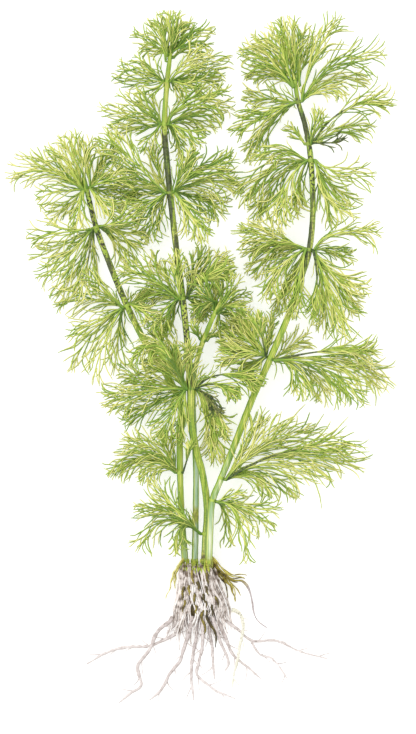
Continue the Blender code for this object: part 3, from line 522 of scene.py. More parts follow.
# The floor, the light and the camera. One pixel of the photograph is PIXEL mm, ORIGIN is the pixel
# at x 0 and y 0, and PHOTO is the size in pixels.
FLOOR_HALF = 3
FLOOR_LOOKS = {
    "Base_Color": "D2D2D0", "Roughness": 0.9, "Emission_Color": "FFFFFF", "Emission_Strength": 0.55}
ROOM_LIGHT = 1.08
LAMP_SIZE = 2.5
LAMP_POWER = 26
LAMP_PLACE = (-1.2, 1.0, 2.6)
PIXEL = 0.72
ORIGIN = (202, 357)
PHOTO = (416, 734)
CAMERA_HEIGHT = 6.0
SENSOR = 24


class Value:
    """A socket that gives a number; an expression on it adds Math nodes."""

    def __init__(self, finish, socket):
        self.finish = finish
        self.socket = socket

    def maths(self, operation, *values):
        return self.finish.node("ShaderNodeMath", {"operation": operation}, dict(enumerate(values)))

    def __add__(self, other):
        return self.maths("ADD", self, other)

    def __sub__(self, other):
        return self.maths("SUBTRACT", self, other)

    def __rsub__(self, other):
        return self.maths("SUBTRACT", other, self)

    def __mul__(self, other):
        return self.maths("MULTIPLY", self, other)

    __radd__ = __add__
    __rmul__ = __mul__

    def above(self, low, high):
        """0 below `low`, 1 above `high`, and a smooth step between."""
        settings = {"interpolation_type": "SMOOTHSTEP"}
        return self.finish.node("ShaderNodeMapRange", settings, {0: self, 1: low, 2: high})

    def below(self, low, high):
        return 1 - self.above(low, high)


class Finish:
    """A procedural material and the nodes that it is made of."""

    def __init__(self, name):
        self.material = bpy.data.materials.new(name)
        self.material.use_nodes = True
        self.tree = self.material.node_tree
        self.shader = self.tree.nodes["Principled BSDF"]
        self.colour = None

    def node(self, kind, settings=None, inputs=None, output=0):
        """Any node: its settings are made first, then the values or links of its sockets."""
        made = self.tree.nodes.new(kind)
        for key, setting in (settings or {}).items():
            if key == "stops":
                self.set_stops(made.color_ramp, setting)
            else:
                setattr(made, key, setting)
        for key, value in (inputs or {}).items():
            self.feed(made.inputs[key], value)
        return Value(self, made.outputs[output])

    def set_stops(self, ramp, stops):
        while len(ramp.elements) < len(stops):
            ramp.elements.new(1.0)
        for element, (position, colour) in zip(ramp.elements, stops):
            element.position = position
            element.color = linear(colour)

    def feed(self, socket, value):
        if isinstance(value, Value):
            self.tree.links.new(value.socket, socket)
        else:
            socket.default_value = linear(value) if isinstance(value, str) else value

    def painted(self, name):
        """A number that the mesh carries at each of its points."""
        return self.node("ShaderNodeAttribute", {"attribute_name": name}, output="Fac")

    def facing(self, *direction):
        """How far the outward side of a tube faces `direction`, from -1 to 1."""
        outward = self.node("ShaderNodeAttribute", {"attribute_name": "outward"}, output="Vector")
        settings = {"operation": "DOT_PRODUCT"}
        return self.node("ShaderNodeVectorMath", settings, {0: outward, 1: direction}, output="Value")

    def noise(self, size_mm, detail=2.0, stretch=None):
        """Noise about 0.5, with spots about `size_mm` large, drawn out by `stretch` along X, Y and Z."""
        place = self.node("ShaderNodeTexCoord", output="Object")
        if stretch:
            place = self.node("ShaderNodeMapping", {}, {"Vector": place, "Scale": stretch})
        inputs = {"Vector": place, "Scale": 1 / (size_mm * MM), "Detail": detail}
        return self.node("ShaderNodeTexNoise", {}, inputs, output="Fac")

    def ramp(self, value, *stops):
        return self.node("ShaderNodeValToRGB", {"stops": stops}, {0: value}, output="Color")

    def coat(self, share, colour):
        """Lay `colour` over the colour so far, which shows where share is 0."""
        settings = {"data_type": "RGBA", "clamp_factor": True}
        inputs = {0: share, 6: self.colour, 7: colour}
        self.colour = self.node("ShaderNodeMix", settings, inputs, output=2)

    def bump(self, height, distance_mm, strength):
        inputs = {"Height": height, "Distance": distance_mm * MM, "Strength": strength}
        self.feed(self.shader.inputs["Normal"], self.node("ShaderNodeBump", {}, inputs))

    def surface(self, **inputs):
        for key, value in inputs.items():
            self.feed(self.shader.inputs[key.replace("_", " ")], value)
        return self.material


def linear(colour):
    """Linear red, green and blue, and 1, of a colour written as six hexadecimal digits."""
    parts = [int(colour[i:i + 2], 16) / 255 for i in (0, 2, 4)]
    return *(part / 12.92 if part <= 0.04045 else ((part + 0.055) / 1.055) ** 2.4 for part in parts), 1


def unit(vectors):
    return vectors / np.linalg.norm(vectors, axis=-1, keepdims=True)


def draw(name):
    return rng.uniform(*BOUNDS[name])


def profile(name, at):
    return np.interp(at, *PROFILES[name])


def spaced(kind):
    """Shares from 0 to 1, one for each of the points that a kind has along it."""
    return np.linspace(0, 1, POINTS[kind])


def leftward(directions):
    """Directions in plan, turned a quarter to the left."""
    return np.stack((-directions[..., 1], directions[..., 0]), -1)


def run_length(path):
    return np.linalg.norm(np.diff(path, axis=0), axis=1).sum()


def smooth_route(points, step):
    """Points about `step` apart on a smooth curve through `points`, with any further columns."""
    route = np.array(points, float)
    ends = np.vstack((2 * route[0] - route[1], route, 2 * route[-1] - route[-2]))
    found = []
    for i in range(1, len(ends) - 2):
        before, start, end, after = ends[i - 1:i + 3]
        count = max(1, round(np.linalg.norm(end[:3] - start[:3]) / step))
        for t in np.arange(count) / count:
            found.append(0.5 * (2 * start + (end - before) * t
                                + (2 * before - 5 * start + 4 * end - after) * t ** 2
                                + (3 * start - before - 3 * end + after) * t ** 3))
    return np.vstack((found, route[-1]))


def stem_at(route, y):
    """Middle, direction and radius of a stem where it passes `y`."""
    i = int(np.argmax(route[:, 1] >= y))
    share = (y - route[i - 1, 1]) / (route[i, 1] - route[i - 1, 1])
    row = route[i - 1] + share * (route[i] - route[i - 1])
    return row[:3], unit(route[min(i + 1, len(route) - 1), :3] - route[max(i - 2, 0), :3]), row[3]


class Leaf:
    """One leaf: the blade of its solid, as it lies on the pile, and then a guide for its threads."""

    def __init__(self, row, middle, along, ring_radius):
        via_x, via_y, tip_x, tip_y, tip_z, self.reach, *state = row
        self.state = state[0] if state else "green"
        self.middle = middle
        self.tip = np.array((tip_x, tip_y, tip_z))
        towards = np.array((via_x - middle[0], via_y - middle[1], TURN_UP * (tip_z - middle[2])))
        self.base = middle + unit(towards - along * towards.dot(along)) * ring_radius
        self.base[2] -= BASE_DROP
        via = np.array((via_x, via_y))
        self.bend = 2 * via - 0.5 * (self.base[:2] + self.tip[:2])
        self.length = np.linalg.norm(via - self.base[:2]) + np.linalg.norm(self.tip[:2] - via)
        sizes = SHORT_LEAF_SIZES if self.length < SHORT_LEAF else LONG_LEAF_SIZES
        self.lobe_sizes = self.reach * np.array(sizes)
        self.steepness = UNDER_STEEPNESS if tip_z < UNDER_HEIGHT else OVER_STEEPNESS
        self.lay_out()

    def plan(self, t):
        """Places on the middle line in plan, at `t` from 0 at the foot to 1 at the tip."""
        t = np.asarray(t)[..., None]
        rest = 1 - t
        return rest * rest * self.base[:2] + 2 * rest * t * self.bend + t * t * self.tip[:2]

    def headings(self, t):
        """Directions of the middle line, and those to its left."""
        t = np.asarray(t)[..., None]
        slope = unit((1 - t) * (self.bend - self.base[:2]) + t * (self.tip[:2] - self.bend))
        return slope, leftward(slope)

    def corner(self, t, aside, ahead=0.0):
        """A corner of the blade, `aside` to the left of the middle line and `ahead` along it."""
        slope, side = self.headings(t)
        later = min(1.0, t + ahead / self.length)
        height = self.base[2] + (self.tip[2] - self.base[2]) * (1 - (1 - later) ** self.steepness)
        droop = LOBE_DROOP * max(0.0, abs(aside) - STALK_HALF_WIDTH)
        return *(self.plan(t) + side * aside + slope * ahead), max(0.0, height - droop)

    def lay_out(self):
        """Place the points along the stalk, then the lobe tips, and list the faces between them."""
        pairs = len(self.lobe_sizes)
        half = STALK_HALF_WIDTH
        stations = self.stations = [0.0, *np.linspace(STALK_SHARE, END_LOBE_SHARE, pairs + 1)]
        points = [self.corner(t, aside) for t in stations for aside in (half, -half)]
        lobe_start = self.lobe_start = len(points)
        for k, size in enumerate(self.lobe_sizes):
            middle = (stations[k + 1] + stations[k + 2]) / 2
            points += [self.corner(middle, aside, LOBE_LEAD * size) for aside in (size, -size)]
        points.append(self.corner(1.0, 0.0))
        self.edge = np.array(points)
        self.ridge = np.array([self.corner(t, 0.0) for t in stations])
        end, first = len(points) - 1, len(points)
        self.under = [(0, 1, 3), (0, 3, 2)]
        self.top = [(0, 2, first + 1, first), (1, first, first + 1, 3)]
        for k in range(pairs):
            left, crest = 2 * k + 2, first + 1 + k
            self.under += [(left, left + 1, left + 3), (left, left + 3, left + 2)]
            for foot, tip in ((left, lobe_start + 2 * k), (left + 1, lobe_start + 2 * k + 1)):
                self.under.append((foot, foot + 2, tip))
                self.top += [(foot, tip, crest), (tip, crest + 1, crest), (tip, foot + 2, crest + 1)]
        left = 2 * pairs + 2
        self.under.append((left, left + 1, end))
        self.top += [(left, end, first + pairs + 1), (left + 1, first + pairs + 1, end)]

    def stalk_heights(self):
        """Height of the blade at each station, halfway between its two edges."""
        return self.edge[:self.lobe_start, 2].reshape(-1, 2).mean(axis=1)

    def come_to_rest(self):
        """Let no lobe hang more than LOBE_FALL below its stalk, and set the ridge above the edges."""
        for k in range(len(self.lobe_sizes)):
            lowest = np.mean(self.edge[2 * k + 2:2 * k + 6, 2]) - LOBE_FALL
            for tip in (self.lobe_start + 2 * k, self.lobe_start + 2 * k + 1):
                self.edge[tip, 2] = max(self.edge[tip, 2], lowest)
        self.ridge[:, 2] = self.stalk_heights() + RIDGE

    def settle(self, crowding, rise):
        """Measure the leaf once it lies on the pile; its foot is raised by `rise` along the stem."""
        inward = (self.tip[0] - self.middle[0]) * (PLANT_MIDDLE - self.middle[0]) > 0
        own_crowding, self.girth = INWARD if inward else OUTWARD
        self.crowding = crowding * own_crowding
        self.rise = rise
        self.run_t = spaced("run")
        steps = np.linalg.norm(np.diff(self.plan(self.run_t), axis=0), axis=1)
        self.run = np.concatenate(([0.0], np.cumsum(steps)))
        self.mid_t = np.append(self.stations, 1.0)
        self.mid_z = np.append(self.stalk_heights() + RIDGE / 2, self.edge[-1, 2])
        middles = (np.array(self.stations[1:-1]) + self.stations[2:]) / 2
        self.lobe_t = np.minimum(1.0, middles + LOBE_LEAD * self.lobe_sizes / self.run[-1])
        self.lobe_z = self.edge[self.lobe_start:-1, 2].reshape(-1, 2).T

    def place(self, s, aside, lift=0.0):
        """Points `s` mm along the leaf and `aside` mm to its left, on the blade of the solid."""
        t = np.interp(s, self.run, self.run_t)
        slope, side = self.headings(t)
        beyond = np.maximum(0.0, s - self.run[-1])
        plan = self.plan(t) + slope * beyond[:, None] + side * aside[:, None]
        middle = np.interp(t, self.mid_t, self.mid_z)
        left, right = [np.interp(t, self.lobe_t, heights) for heights in self.lobe_z]
        share = np.minimum(1.0, np.abs(aside) / np.interp(t, self.lobe_t, self.lobe_sizes))
        height = middle + (np.where(aside > 0, left, right) - middle) * share ** EDGE_CURVE
        points = np.column_stack((plan, height + lift))
        points += np.maximum(0, 1 - s / FOOT_RUN)[:, None] ** 2 * self.rise
        points[:, 2] = np.maximum(points[:, 2], LOWEST_THREAD)
        return points


class Pile:
    """Height of what already lies on the surface, on a square grid in plan."""

    def __init__(self):
        self.height = np.full([int(2 * half / CELL) for half in GRID_HALF], BARE)
        steps = np.arange(TRIANGLE_SAMPLES + 1) / TRIANGLE_SAMPLES
        corners = [(a, b, 1 - a - b) for i, a in enumerate(steps) for b in steps[:len(steps) - i]]
        self.weights = np.array(corners)

    def cells(self, plan):
        return (((plan + GRID_HALF) / CELL).astype(int)).T

    def add(self, points):
        """Raise the grid to `points`, one cell to each side included."""
        for dx in (-CELL, 0, CELL):
            for dy in (-CELL, 0, CELL):
                x, y = self.cells(points[:, :2] + (dx, dy))
                np.maximum.at(self.height, (x, y), points[:, 2])

    def add_stem(self, route):
        fine = smooth_route(route, STEM_SAMPLE)
        radius = fine[:, 3]
        across = unit(leftward(np.gradient(fine[:, :2], axis=0)))
        for share in np.linspace(-1, 1, STEM_STRIPS):
            plan = fine[:, :2] + across * (share * radius)[:, None]
            self.add(np.column_stack((plan, fine[:, 2] + radius * (1 - share ** 2) ** 0.5)))

    def lay(self, leaf):
        """Lift the leaf clear of what lies under it, then add it to the pile."""
        corners = np.array(leaf.under)
        plan = np.einsum("sc,tcx->tsx", self.weights, leaf.edge[corners][:, :, :2])
        x, y = self.cells(plan.reshape(-1, 2))
        floor = self.height[x, y].reshape(plan.shape[:2]) + LEAF_GAP
        free = np.linalg.norm(plan - leaf.middle[:2], axis=2) < COLLAR_ZONE
        floor[free] = BARE
        for _ in range(LIFT_ROUNDS):
            heights = np.einsum("sc,tc->ts", self.weights, leaf.edge[corners][:, :, 2])
            short = np.maximum(0.0, floor - heights)
            if short.max() < LIFT_ENOUGH:
                break
            lifts = np.zeros(len(leaf.edge))
            for corner in range(3):
                holding = self.weights[:, corner] > LIFT_SHARE
                np.maximum.at(lifts, corners[:, corner], short[:, holding].max(axis=1))
            lifts[:2] = 0.0
            paired = lifts[:leaf.lobe_start].reshape(-1, 2)
            paired[:] = paired.max(axis=1)[:, None]
            leaf.edge[:, 2] += lifts
        leaf.come_to_rest()
        everything = np.vstack((leaf.edge, leaf.ridge))
        for face in leaf.top:
            for i in range(1, len(face) - 1):
                self.add(self.weights @ everything[[face[0], face[i], face[i + 1]]])


def lay_all(routes, whorls):
    """Lay the lowest leaves first, then the stems and their rings, then the other leaves."""
    leaves = sorted((leaf for whorl in whorls.values() for leaf in whorl[-1]), key=lambda leaf: leaf.tip[2])
    pile = Pile()
    for leaf in leaves:
        if leaf.tip[2] < UNDER_HEIGHT:
            pile.lay(leaf)
    for route in routes.values():
        pile.add_stem(route)
    for middle, along, radius, _ in whorls.values():
        ends = (middle - along * COLLAR_LENGTH / 2, middle + along * COLLAR_LENGTH / 2)
        pile.add_stem([(*end, radius + GAP + COLLAR_WALL) for end in ends])
    for leaf in leaves:
        if leaf.tip[2] >= UNDER_HEIGHT:
            pile.lay(leaf)


# The squares of the flat map that the tubes get: where the strip round a tube begins and how large
# it is, and the radius and the heights of its two ends.
STRIP_START = (0.07, 0.1)
STRIP_SIZE = (0.86, 0.8)
END_RADIUS = 0.03
END_HEIGHTS = (0.04, 0.96)


class Tubes:
    """The tubes of one piece: threads, stems or roots, gathered and made into one mesh."""

    def __init__(self):
        self.groups = {}

    def add(self, points, radii, kind, flat=None, **marks):
        """One tube through `points`, with the section of its kind and marks that its finish reads."""
        sides, own_flat, ridges = SECTIONS[kind]
        count = len(points)
        radii = np.broadcast_to(radii, count)
        flat = np.broadcast_to(own_flat if flat is None else flat, count)
        marks = {name: np.broadcast_to(mark, count) for name, mark in marks.items()}
        group = self.groups.setdefault((count, sides, ridges), [])
        group.append((np.asarray(points, float), radii, flat, marks))

    def rings(self, group, sides, ridges):
        """Corners of every tube of a group, and the direction in which each corner faces."""
        points, radii, flat = [np.array([row[column] for row in group]) for column in range(3)]
        ahead = unit(np.gradient(points, axis=1))
        across = unit(np.cross(ahead, UP))
        upward = np.cross(across, ahead)
        turns = 2 * np.pi * np.arange(sides) / sides
        wide = np.cos(turns)[:, None] * across[:, :, None, :]
        tall = np.sin(turns)[:, None] * upward[:, :, None, :]
        swell = radii[:, :, None] * (1 + RIDGE_HEIGHT * np.cos(ridges * turns) * bool(ridges))
        offsets = (wide + tall * flat[:, :, None, None]) * swell[..., None]
        return points[:, :, None, :] + offsets, wide + tall

    def mesh(self, name, *mark_names):
        columns = int(np.ceil(sum(len(group) for group in self.groups.values()) ** 0.5))
        corners, outward, faces, places = [], [], [], []
        marks = {key: [] for key in (*mark_names, "ridge")}
        first = 0
        for (count, sides, ridges), group in self.groups.items():
            rings, facing = self.rings(group, sides, ridges)
            corners.append(rings.reshape(-1, 3))
            outward.append(facing.reshape(-1, 3))
            swell = np.cos(ridges * 2 * np.pi * np.arange(sides) / sides)
            marks["ridge"].append(np.tile(swell, len(group) * count))
            for key in mark_names:
                rows = [row[3].get(key, np.zeros(count)) for row in group]
                marks[key].append(np.repeat(np.array(rows).reshape(-1), sides))
            for _ in group:
                self.wrap(first, count, sides, faces)
                places.append(self.unwrap(len(places), columns, count, sides))
                first += count * sides
        mesh = bpy.data.meshes.new(name)
        mesh.from_pydata((np.concatenate(corners) * MM).tolist(), [], faces)
        layer = mesh.uv_layers.new(name="OFBake")
        layer.data.foreach_set("uv", np.concatenate(places).astype(np.float32).reshape(-1))
        for key, values in marks.items():
            mesh.attributes.new(key, "FLOAT", "POINT").data.foreach_set("value", np.concatenate(values))
        facing = mesh.attributes.new("outward", "FLOAT_VECTOR", "POINT")
        facing.data.foreach_set("vector", np.concatenate(outward).reshape(-1))
        mesh.shade_smooth()
        return mesh

    def wrap(self, first, count, sides, faces):
        """Faces of one tube: its strips, then its two ends."""
        step = first + np.arange(count - 1)[:, None] * sides
        turn = np.arange(sides)
        following = (turn + 1) % sides
        quads = np.stack((step + turn, step + sides + turn, step + sides + following, step + following), -1)
        faces += quads.reshape(-1, 4).tolist()
        last = first + (count - 1) * sides
        faces.append(list(range(first, first + sides)))
        faces.append(list(range(last, last + sides))[::-1])

    def unwrap(self, cell, columns, count, sides):
        """Places of one tube's faces in a square of the flat map of its own."""
        turn = np.arange(sides)
        step = np.arange(count - 1)[:, None]
        wide = np.stack((turn, turn, turn + 1, turn + 1), -1) / sides
        long = np.stack((step, step + 1, step + 1, step), -1) / (count - 1)
        shape = (count - 1, sides, 4)
        strips = np.stack((np.broadcast_to(wide, shape), np.broadcast_to(long, shape)), -1).reshape(-1, 2)
        turns = 2 * np.pi * turn / sides
        circle = np.stack((np.cos(turns), np.sin(turns)), -1) * END_RADIUS
        ends = [circle + (0.5, height) for height in END_HEIGHTS]
        places = np.concatenate([STRIP_START + np.array(STRIP_SIZE) * strips] + ends)
        return (places + (cell % columns, cell // columns)) / columns


def add_piece(name, tubes, marks, finish, node):
    """Make the tubes one mesh, let it ride on the body and replace `node` in the render."""
    mesh = tubes.mesh(name, *marks)
    piece = bpy.data.objects.new(name, mesh)
    bpy.context.scene.collection.objects.link(piece)
    mesh.materials.append(finish)
    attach(piece, "root")
    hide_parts(node)


def turned(direction, angle):
    cosine, sine = np.cos(angle), np.sin(angle)
    x, y = direction
    return np.array((x * cosine - y * sine, x * sine + y * cosine))


def hook(first, second, u):
    """Steps in plan of a line of length 1 that sets out along `first` and turns towards `second`."""
    u = u[:, None]
    return first * (u - u ** 2 / 2) + second * u ** 2 / 2


def wave(u, height):
    """A sideways wave of random pitch and phase that grows along a thread."""
    return height * np.sin(u * draw("waves") + draw("phase")) * u


def two_tones():
    """Step away from the mean tint of a leaf: a thread is either deep green or yellowish."""
    return rng.choice(TONES) + rng.normal(0, TONE_NOISE)


def grow_leaf(leaf, tubes, shade):
    """Divide one leaf: long threads that fan out from the stalk, almost from the stem, and their forks."""
    length = leaf.run[-1]
    leaf.shade = rng.normal(shade, SHADE_NOISE) + YELLOWED_SHADE * (leaf.state == "yellowed")
    leaf.decay = float(leaf.state == "decayed")
    u = spaced("stalk")
    sway = np.sin(u * STALK_SWAYS + draw("phase")) * u
    radii = profile("thick_stalk" if length > THICK_STALK_FROM else "thin_stalk", u)
    dark = np.maximum(profile("dark_stalk", u) * (leaf.state == "dark_stalk"), leaf.decay)
    stalk = leaf.place(u * length * STALK_REACH, sway)
    inside = leaf.middle + leaf.rise
    inside = inside + 0.5 * (stalk[0] - inside)
    tubes.add(np.vstack((inside, stalk)), np.append(radii[0], radii), "stalk", tint=leaf.shade,
              along=np.append(0, u * STALK_TINT), dark=np.append(dark[0], dark))
    count = (BRANCHES_AT_LEAST + length / BRANCH_SPACING) * leaf.crowding
    count = round(count * (1 - DECAYED_LOSS * leaf.decay))
    bare = DARK_STALK_BARE if leaf.state == "dark_stalk" else profile("bare_by_length", length)
    side = rng.choice((-1, 1))
    for k in range(count):
        share = max(FIRST_BRANCH, bare + (LAST_BRANCH - bare) * ((k + draw("branch_shift")) / count))
        start = share * length
        end = start + length * (BRANCH_REACH - BRANCH_REACH_LOSS * share) * draw("branch_size")
        end = min(end, length * draw("branch_end"))
        aside = side * leaf.reach * (profile("fan", share) * draw("fan"))
        corners = ((start, np.interp(share, u, sway)),
                   (start + 0.5 * (end - start), draw("bow") * aside),
                   (end, aside))
        grow_branch(leaf, tubes, np.array(corners), leaf.girth, 1, side)
        side = -side
    for turn in (-1, 1):
        corners = [(length * along, aside * turn) for along, aside in END_PAIR]
        grow_branch(leaf, tubes, np.array(corners), END_PAIR_GIRTH, 2, turn)


def grow_branch(leaf, tubes, corners, radius, order, side):
    """One arched thread through `corners` of the leaf's own plan, and the forks on it."""
    u = spaced("thread")
    t = u[:, None]
    path = (1 - t) ** 2 * corners[0] + 2 * t * (1 - t) * corners[1] + t ** 2 * corners[2]
    heading = unit(np.gradient(path, axis=0))
    length = run_length(path)
    swing = wave(u, WAVE_HEIGHT * length)
    curl = rng.normal(CURL_LEAN * side, CURL_NOISE) * length
    swing = swing + curl * np.maximum(0, u - CURL_START) ** 2 * CURL_STRENGTH
    path = path + leftward(heading) * swing[:, None]
    path[:, 0] = np.minimum(path[:, 0], leaf.run[-1])
    lift = draw("lift") * np.sin(u * LIFT_ARCH) + DECAYED_LIFT * leaf.decay
    tint = np.clip(leaf.shade + two_tones(), 0, 1)
    along = np.clip(path[:, 0] / leaf.run[-1] * TINT_PER_REACH + TINT_PER_BRANCH * u, 0, 1)
    dark = leaf.decay * draw("decayed_dark")
    points = leaf.place(path[:, 0], path[:, 1], lift)
    tubes.add(points, radius * profile("branch", u), "thread", tint=tint, along=along, dark=dark)
    if order == LAST_ORDER or length < SHORTEST_FORKED:
        return
    turn = side if rng.random() < SAME_SIDE else -side
    shares, skipped = FORKS[order]
    for share in shares:
        turn = -turn
        if rng.random() < skipped:
            continue
        place = (share + draw("fork_shift")) * (len(u) - 1)
        at, ahead = [np.array([np.interp(place, np.arange(len(u)), column) for column in rows.T])
                     for rows in (path, heading)]
        if order == 1:
            size = length * (FORK_REACH - FORK_REACH_LOSS * share) * draw("branch_size")
        else:
            size = length * SECOND_FORK_REACH
        size = min(size, LONGEST_FORK)
        angle = turn * draw("fork_angle")
        middle = at + turned(ahead, angle) * size * 0.5
        end = middle + turned(ahead, angle + turn * draw("fork_bend")) * size * 0.5
        end[0] = min(end[0], leaf.run[-1] * FORK_TIP)
        grow_branch(leaf, tubes, np.array((at, middle, end)), radius * FORK_GIRTH, order + 1, turn)


def grow_between(first, second, tubes, route):
    """Threads that leave the stem in the gap between two neighbouring leaves, and their forks."""
    headings = [leaf.tip[:2] - leaf.middle[:2] for leaf in (first, second)]
    turn = np.arccos(np.clip(np.dot(*headings) / np.prod(np.linalg.norm(headings, axis=1)), -1, 1))
    if turn > WIDEST_GAP or min(first.run[-1], second.run[-1]) > LONG_STALK:
        return
    count = int(np.clip(round(turn / THREAD_TURN), 1, MOST_BETWEEN))
    shares = [(k + 0.5 + draw("between_shift")) / count for k in range(count)]
    if turn > STEM_GAP:
        shares = STEM_GAP_SHARES
    u = spaced("between")
    for share in shares:
        far = draw("between_reach")
        ends = [leaf.place(u * min(leaf.run[-1], LONGEST_BETWEEN) * far, 0 * u) for leaf in (first, second)]
        path = ends[0] * (1 - share) + ends[1] * share
        if not hides_stem(path, route):
            path = np.vstack((first.middle + 0.5 * (path[0] - first.middle), path))
            grow_free(tubes, path, BETWEEN_GIRTH, 1, first.shade)


def hides_stem(path, route):
    """Whether a path runs over its own stem, beyond the joint that it starts from."""
    away = path[np.linalg.norm(path - path[0], axis=1) > JOINT_ZONE]
    aside = np.linalg.norm(away[:, None, :2] - route[None, :, :2], axis=2).min(axis=1)
    return bool(np.any(aside < STEM_CLEARANCE))


def grow_free(tubes, path, radius, order, shade):
    """A thread along `path`, a little wavy, and its forks."""
    count = len(path)
    u = np.linspace(0, 1, count)
    across = leftward(np.gradient(path, axis=0)[:, :2])
    across = np.column_stack((unit(across), np.zeros(count)))
    length = run_length(path)
    path = path + across * wave(u, FREE_WAVE * length)[:, None]
    path[:, 2] = np.maximum(path[:, 2], LOWEST_THREAD)
    tint = np.clip(shade + two_tones(), 0, 1)
    tubes.add(path, radius * profile("free_thread", u), "thread", tint=tint, along=u * FREE_TINT[order])
    if order == 2:
        return
    turn = rng.choice((-1, 1))
    for share in FREE_FORKS:
        if rng.random() < FREE_FORK_SKIPPED:
            continue
        i = int(share * count)
        heading = unit(turned(path[i, :2] - path[i - 1, :2], turn * draw("free_angle")))
        bent = turned(heading, turn * draw("free_bend"))
        size = length * (FREE_FORK_REACH - FREE_FORK_REACH_LOSS * share) * draw("free_size")
        size = min(LONGEST_FREE_FORK, size)
        v = spaced("thread")
        plan = path[i, :2] + hook(heading, bent, v) * size
        height = path[i, 2] + (path[i, 2] - path[i - 2, 2]) * v * 0.5
        grow_free(tubes, np.column_stack((plan, height)), FREE_FORK_GIRTH, 2, shade)
        turn = -turn


def add_stem_tip(tubes, middle, along, radius, shade):
    """The end of a stem, which the youngest leaves grow from one above the other."""
    u = spaced("stem_tip")
    points = middle + TIP_RISE * u[:, None] * along
    tubes.add(points, radius * (1 - TIP_TAPER * u), "stem_tip", tint=shade + TIP_TINT, along=TIP_ALONG)


def add_joint(tubes, middle, along, radius, dark):
    """The slightly swollen joint of a stem that the leaves of a whorl grow from."""
    s = np.linspace(-JOINT_HALF_LENGTH, JOINT_HALF_LENGTH, POINTS["joint"])
    radii = radius + JOINT_CLEARANCE + JOINT_SWELL * np.exp(-(s / JOINT_SWELL_LENGTH) ** 2)
    tubes.add(middle + s[:, None] * along, radii, "stem", dark=JOINT_DARK * dark, **JOINT_MARKS)


def leaf_finish(name):
    """Green threads, yellower towards their tips, with a painted shade along the side that faces down the
    plant.
    """
    finish = Finish(name)
    shade = finish.painted("tint") * 0.62 + finish.painted("along") * 0.3 + (finish.noise(9) - 0.5) * 0.3
    finish.colour = finish.ramp(shade, *LEAF_GREENS)
    # Painted shade: dark green laid on the flank of each thread that faces down the plant, as if lit from the
    # other side.
    painted_shade = finish.facing(0.45, -0.85, -0.1).above(0.0, 0.4)
    finish.coat(painted_shade * 0.9, LEAF_PAINTED_SHADE)
    joint = finish.painted("along").below(0.03, 0.12)
    finish.coat(joint * 0.6, LEAF_JOINT)
    blotch = finish.noise(1.6, 3).above(0.42, 0.6)
    dark = finish.painted("dark") * (blotch * 0.35 + 0.65)
    finish.coat(dark, LEAF_DECAYED)
    finish.bump(finish.noise(0.5, 2), 0.1, 0.35)
    return finish.surface(Base_Color=finish.colour, Roughness=finish.noise(3) * 0.3 + 0.38)


def stem_finish(name):
    """Stems: yellow-green strands, with black streaks and specks, pale towards the crown with that paleness
    laid mostly as a painted highlight along their middle, and painted shade on their flanks and in their
    grooves.
    """
    finish = Finish(name)
    strand = finish.noise(2.2, 3, (1, 0.06, 1))
    finish.colour = finish.ramp(strand, *STEM_GREENS)
    whitish_and_highlight = finish.ramp(strand, *STEM_WHITES_AND_HIGHLIGHT)
    rim = finish.facing(1, 0, 0)
    # Partly real colour, partly painted highlight: the pale colour is laid fully on the band along the middle
    # of the stem, away from its flanks, and only 15% on the flanks.
    core = rim.above(-0.55, -0.15) * rim.below(0.5, 0.85)
    pale = finish.painted("pale") * (core * 0.85 + 0.15)
    finish.coat(pale, whitish_and_highlight)
    # Painted shade in the grooves between the stem's ridges, weaker where the stem is pale.
    groove_shade = finish.painted("ridge").below(-0.9, 0.2) * (0.5 - pale * 0.25)
    finish.coat(groove_shade, STEM_GROOVE_SHADE)
    # Painted shade: dark green on the flanks that face -x and +x, stronger on -x.
    flank_shade = rim.below(-0.97, -0.6) + rim.above(0.7, 0.98) * 0.6
    finish.coat(flank_shade * 0.8, STEM_FLANK_SHADE)
    husk = finish.ramp(finish.noise(2.5, 3), *HUSKS)
    finish.coat(finish.painted("sheath"), husk)
    dark = finish.painted("dark")
    # Real dark streaks, set a little more often towards the -x flank as part of its painted shade.
    streak = (finish.noise(2.2, 4, (1, 0.09, 1)) + dark * 0.34 + rim * -0.08).above(0.64, 0.82)
    finish.coat(streak * dark.above(0, 0.3) * 0.9, STEM_STREAK)
    speck = finish.noise(1.7, 1.5).above(0.5, 0.56) * finish.painted("speckle")
    finish.coat(speck * 0.95, STEM_SPECK)
    finish.bump(strand + finish.noise(1.0, 2) * 0.3, 0.5, 0.6)
    return finish.surface(Base_Color=finish.colour, Roughness=strand * 0.3 + 0.3)


def add_stems(routes):
    finishes = {"stem": stem_finish("streaked stem"), "pale_stem": stem_finish("pale stem")}
    for name, route in routes.items():
        fine = smooth_route(route, STEM_SAMPLE_STEP)
        y = fine[:, 1]
        marks = {mark: np.interp(y, *np.transpose(rows)) for mark, rows in STEM_MARKS[name].items()}
        swell = sum((STEM_SWELL * np.sin(y * turns) for turns in STEM_SWELL_TURNS), start=1)
        tubes = Tubes()
        tubes.add(fine[:, :3], fine[:, 3] * swell, "stem", **marks)
        add_stem_base(tubes, fine[0])
        slot = "pale_stem" if name == "side_shoot" else "stem"
        add_piece(name + "_skin", tubes, STEM_MARKS[name], finishes[slot], name)


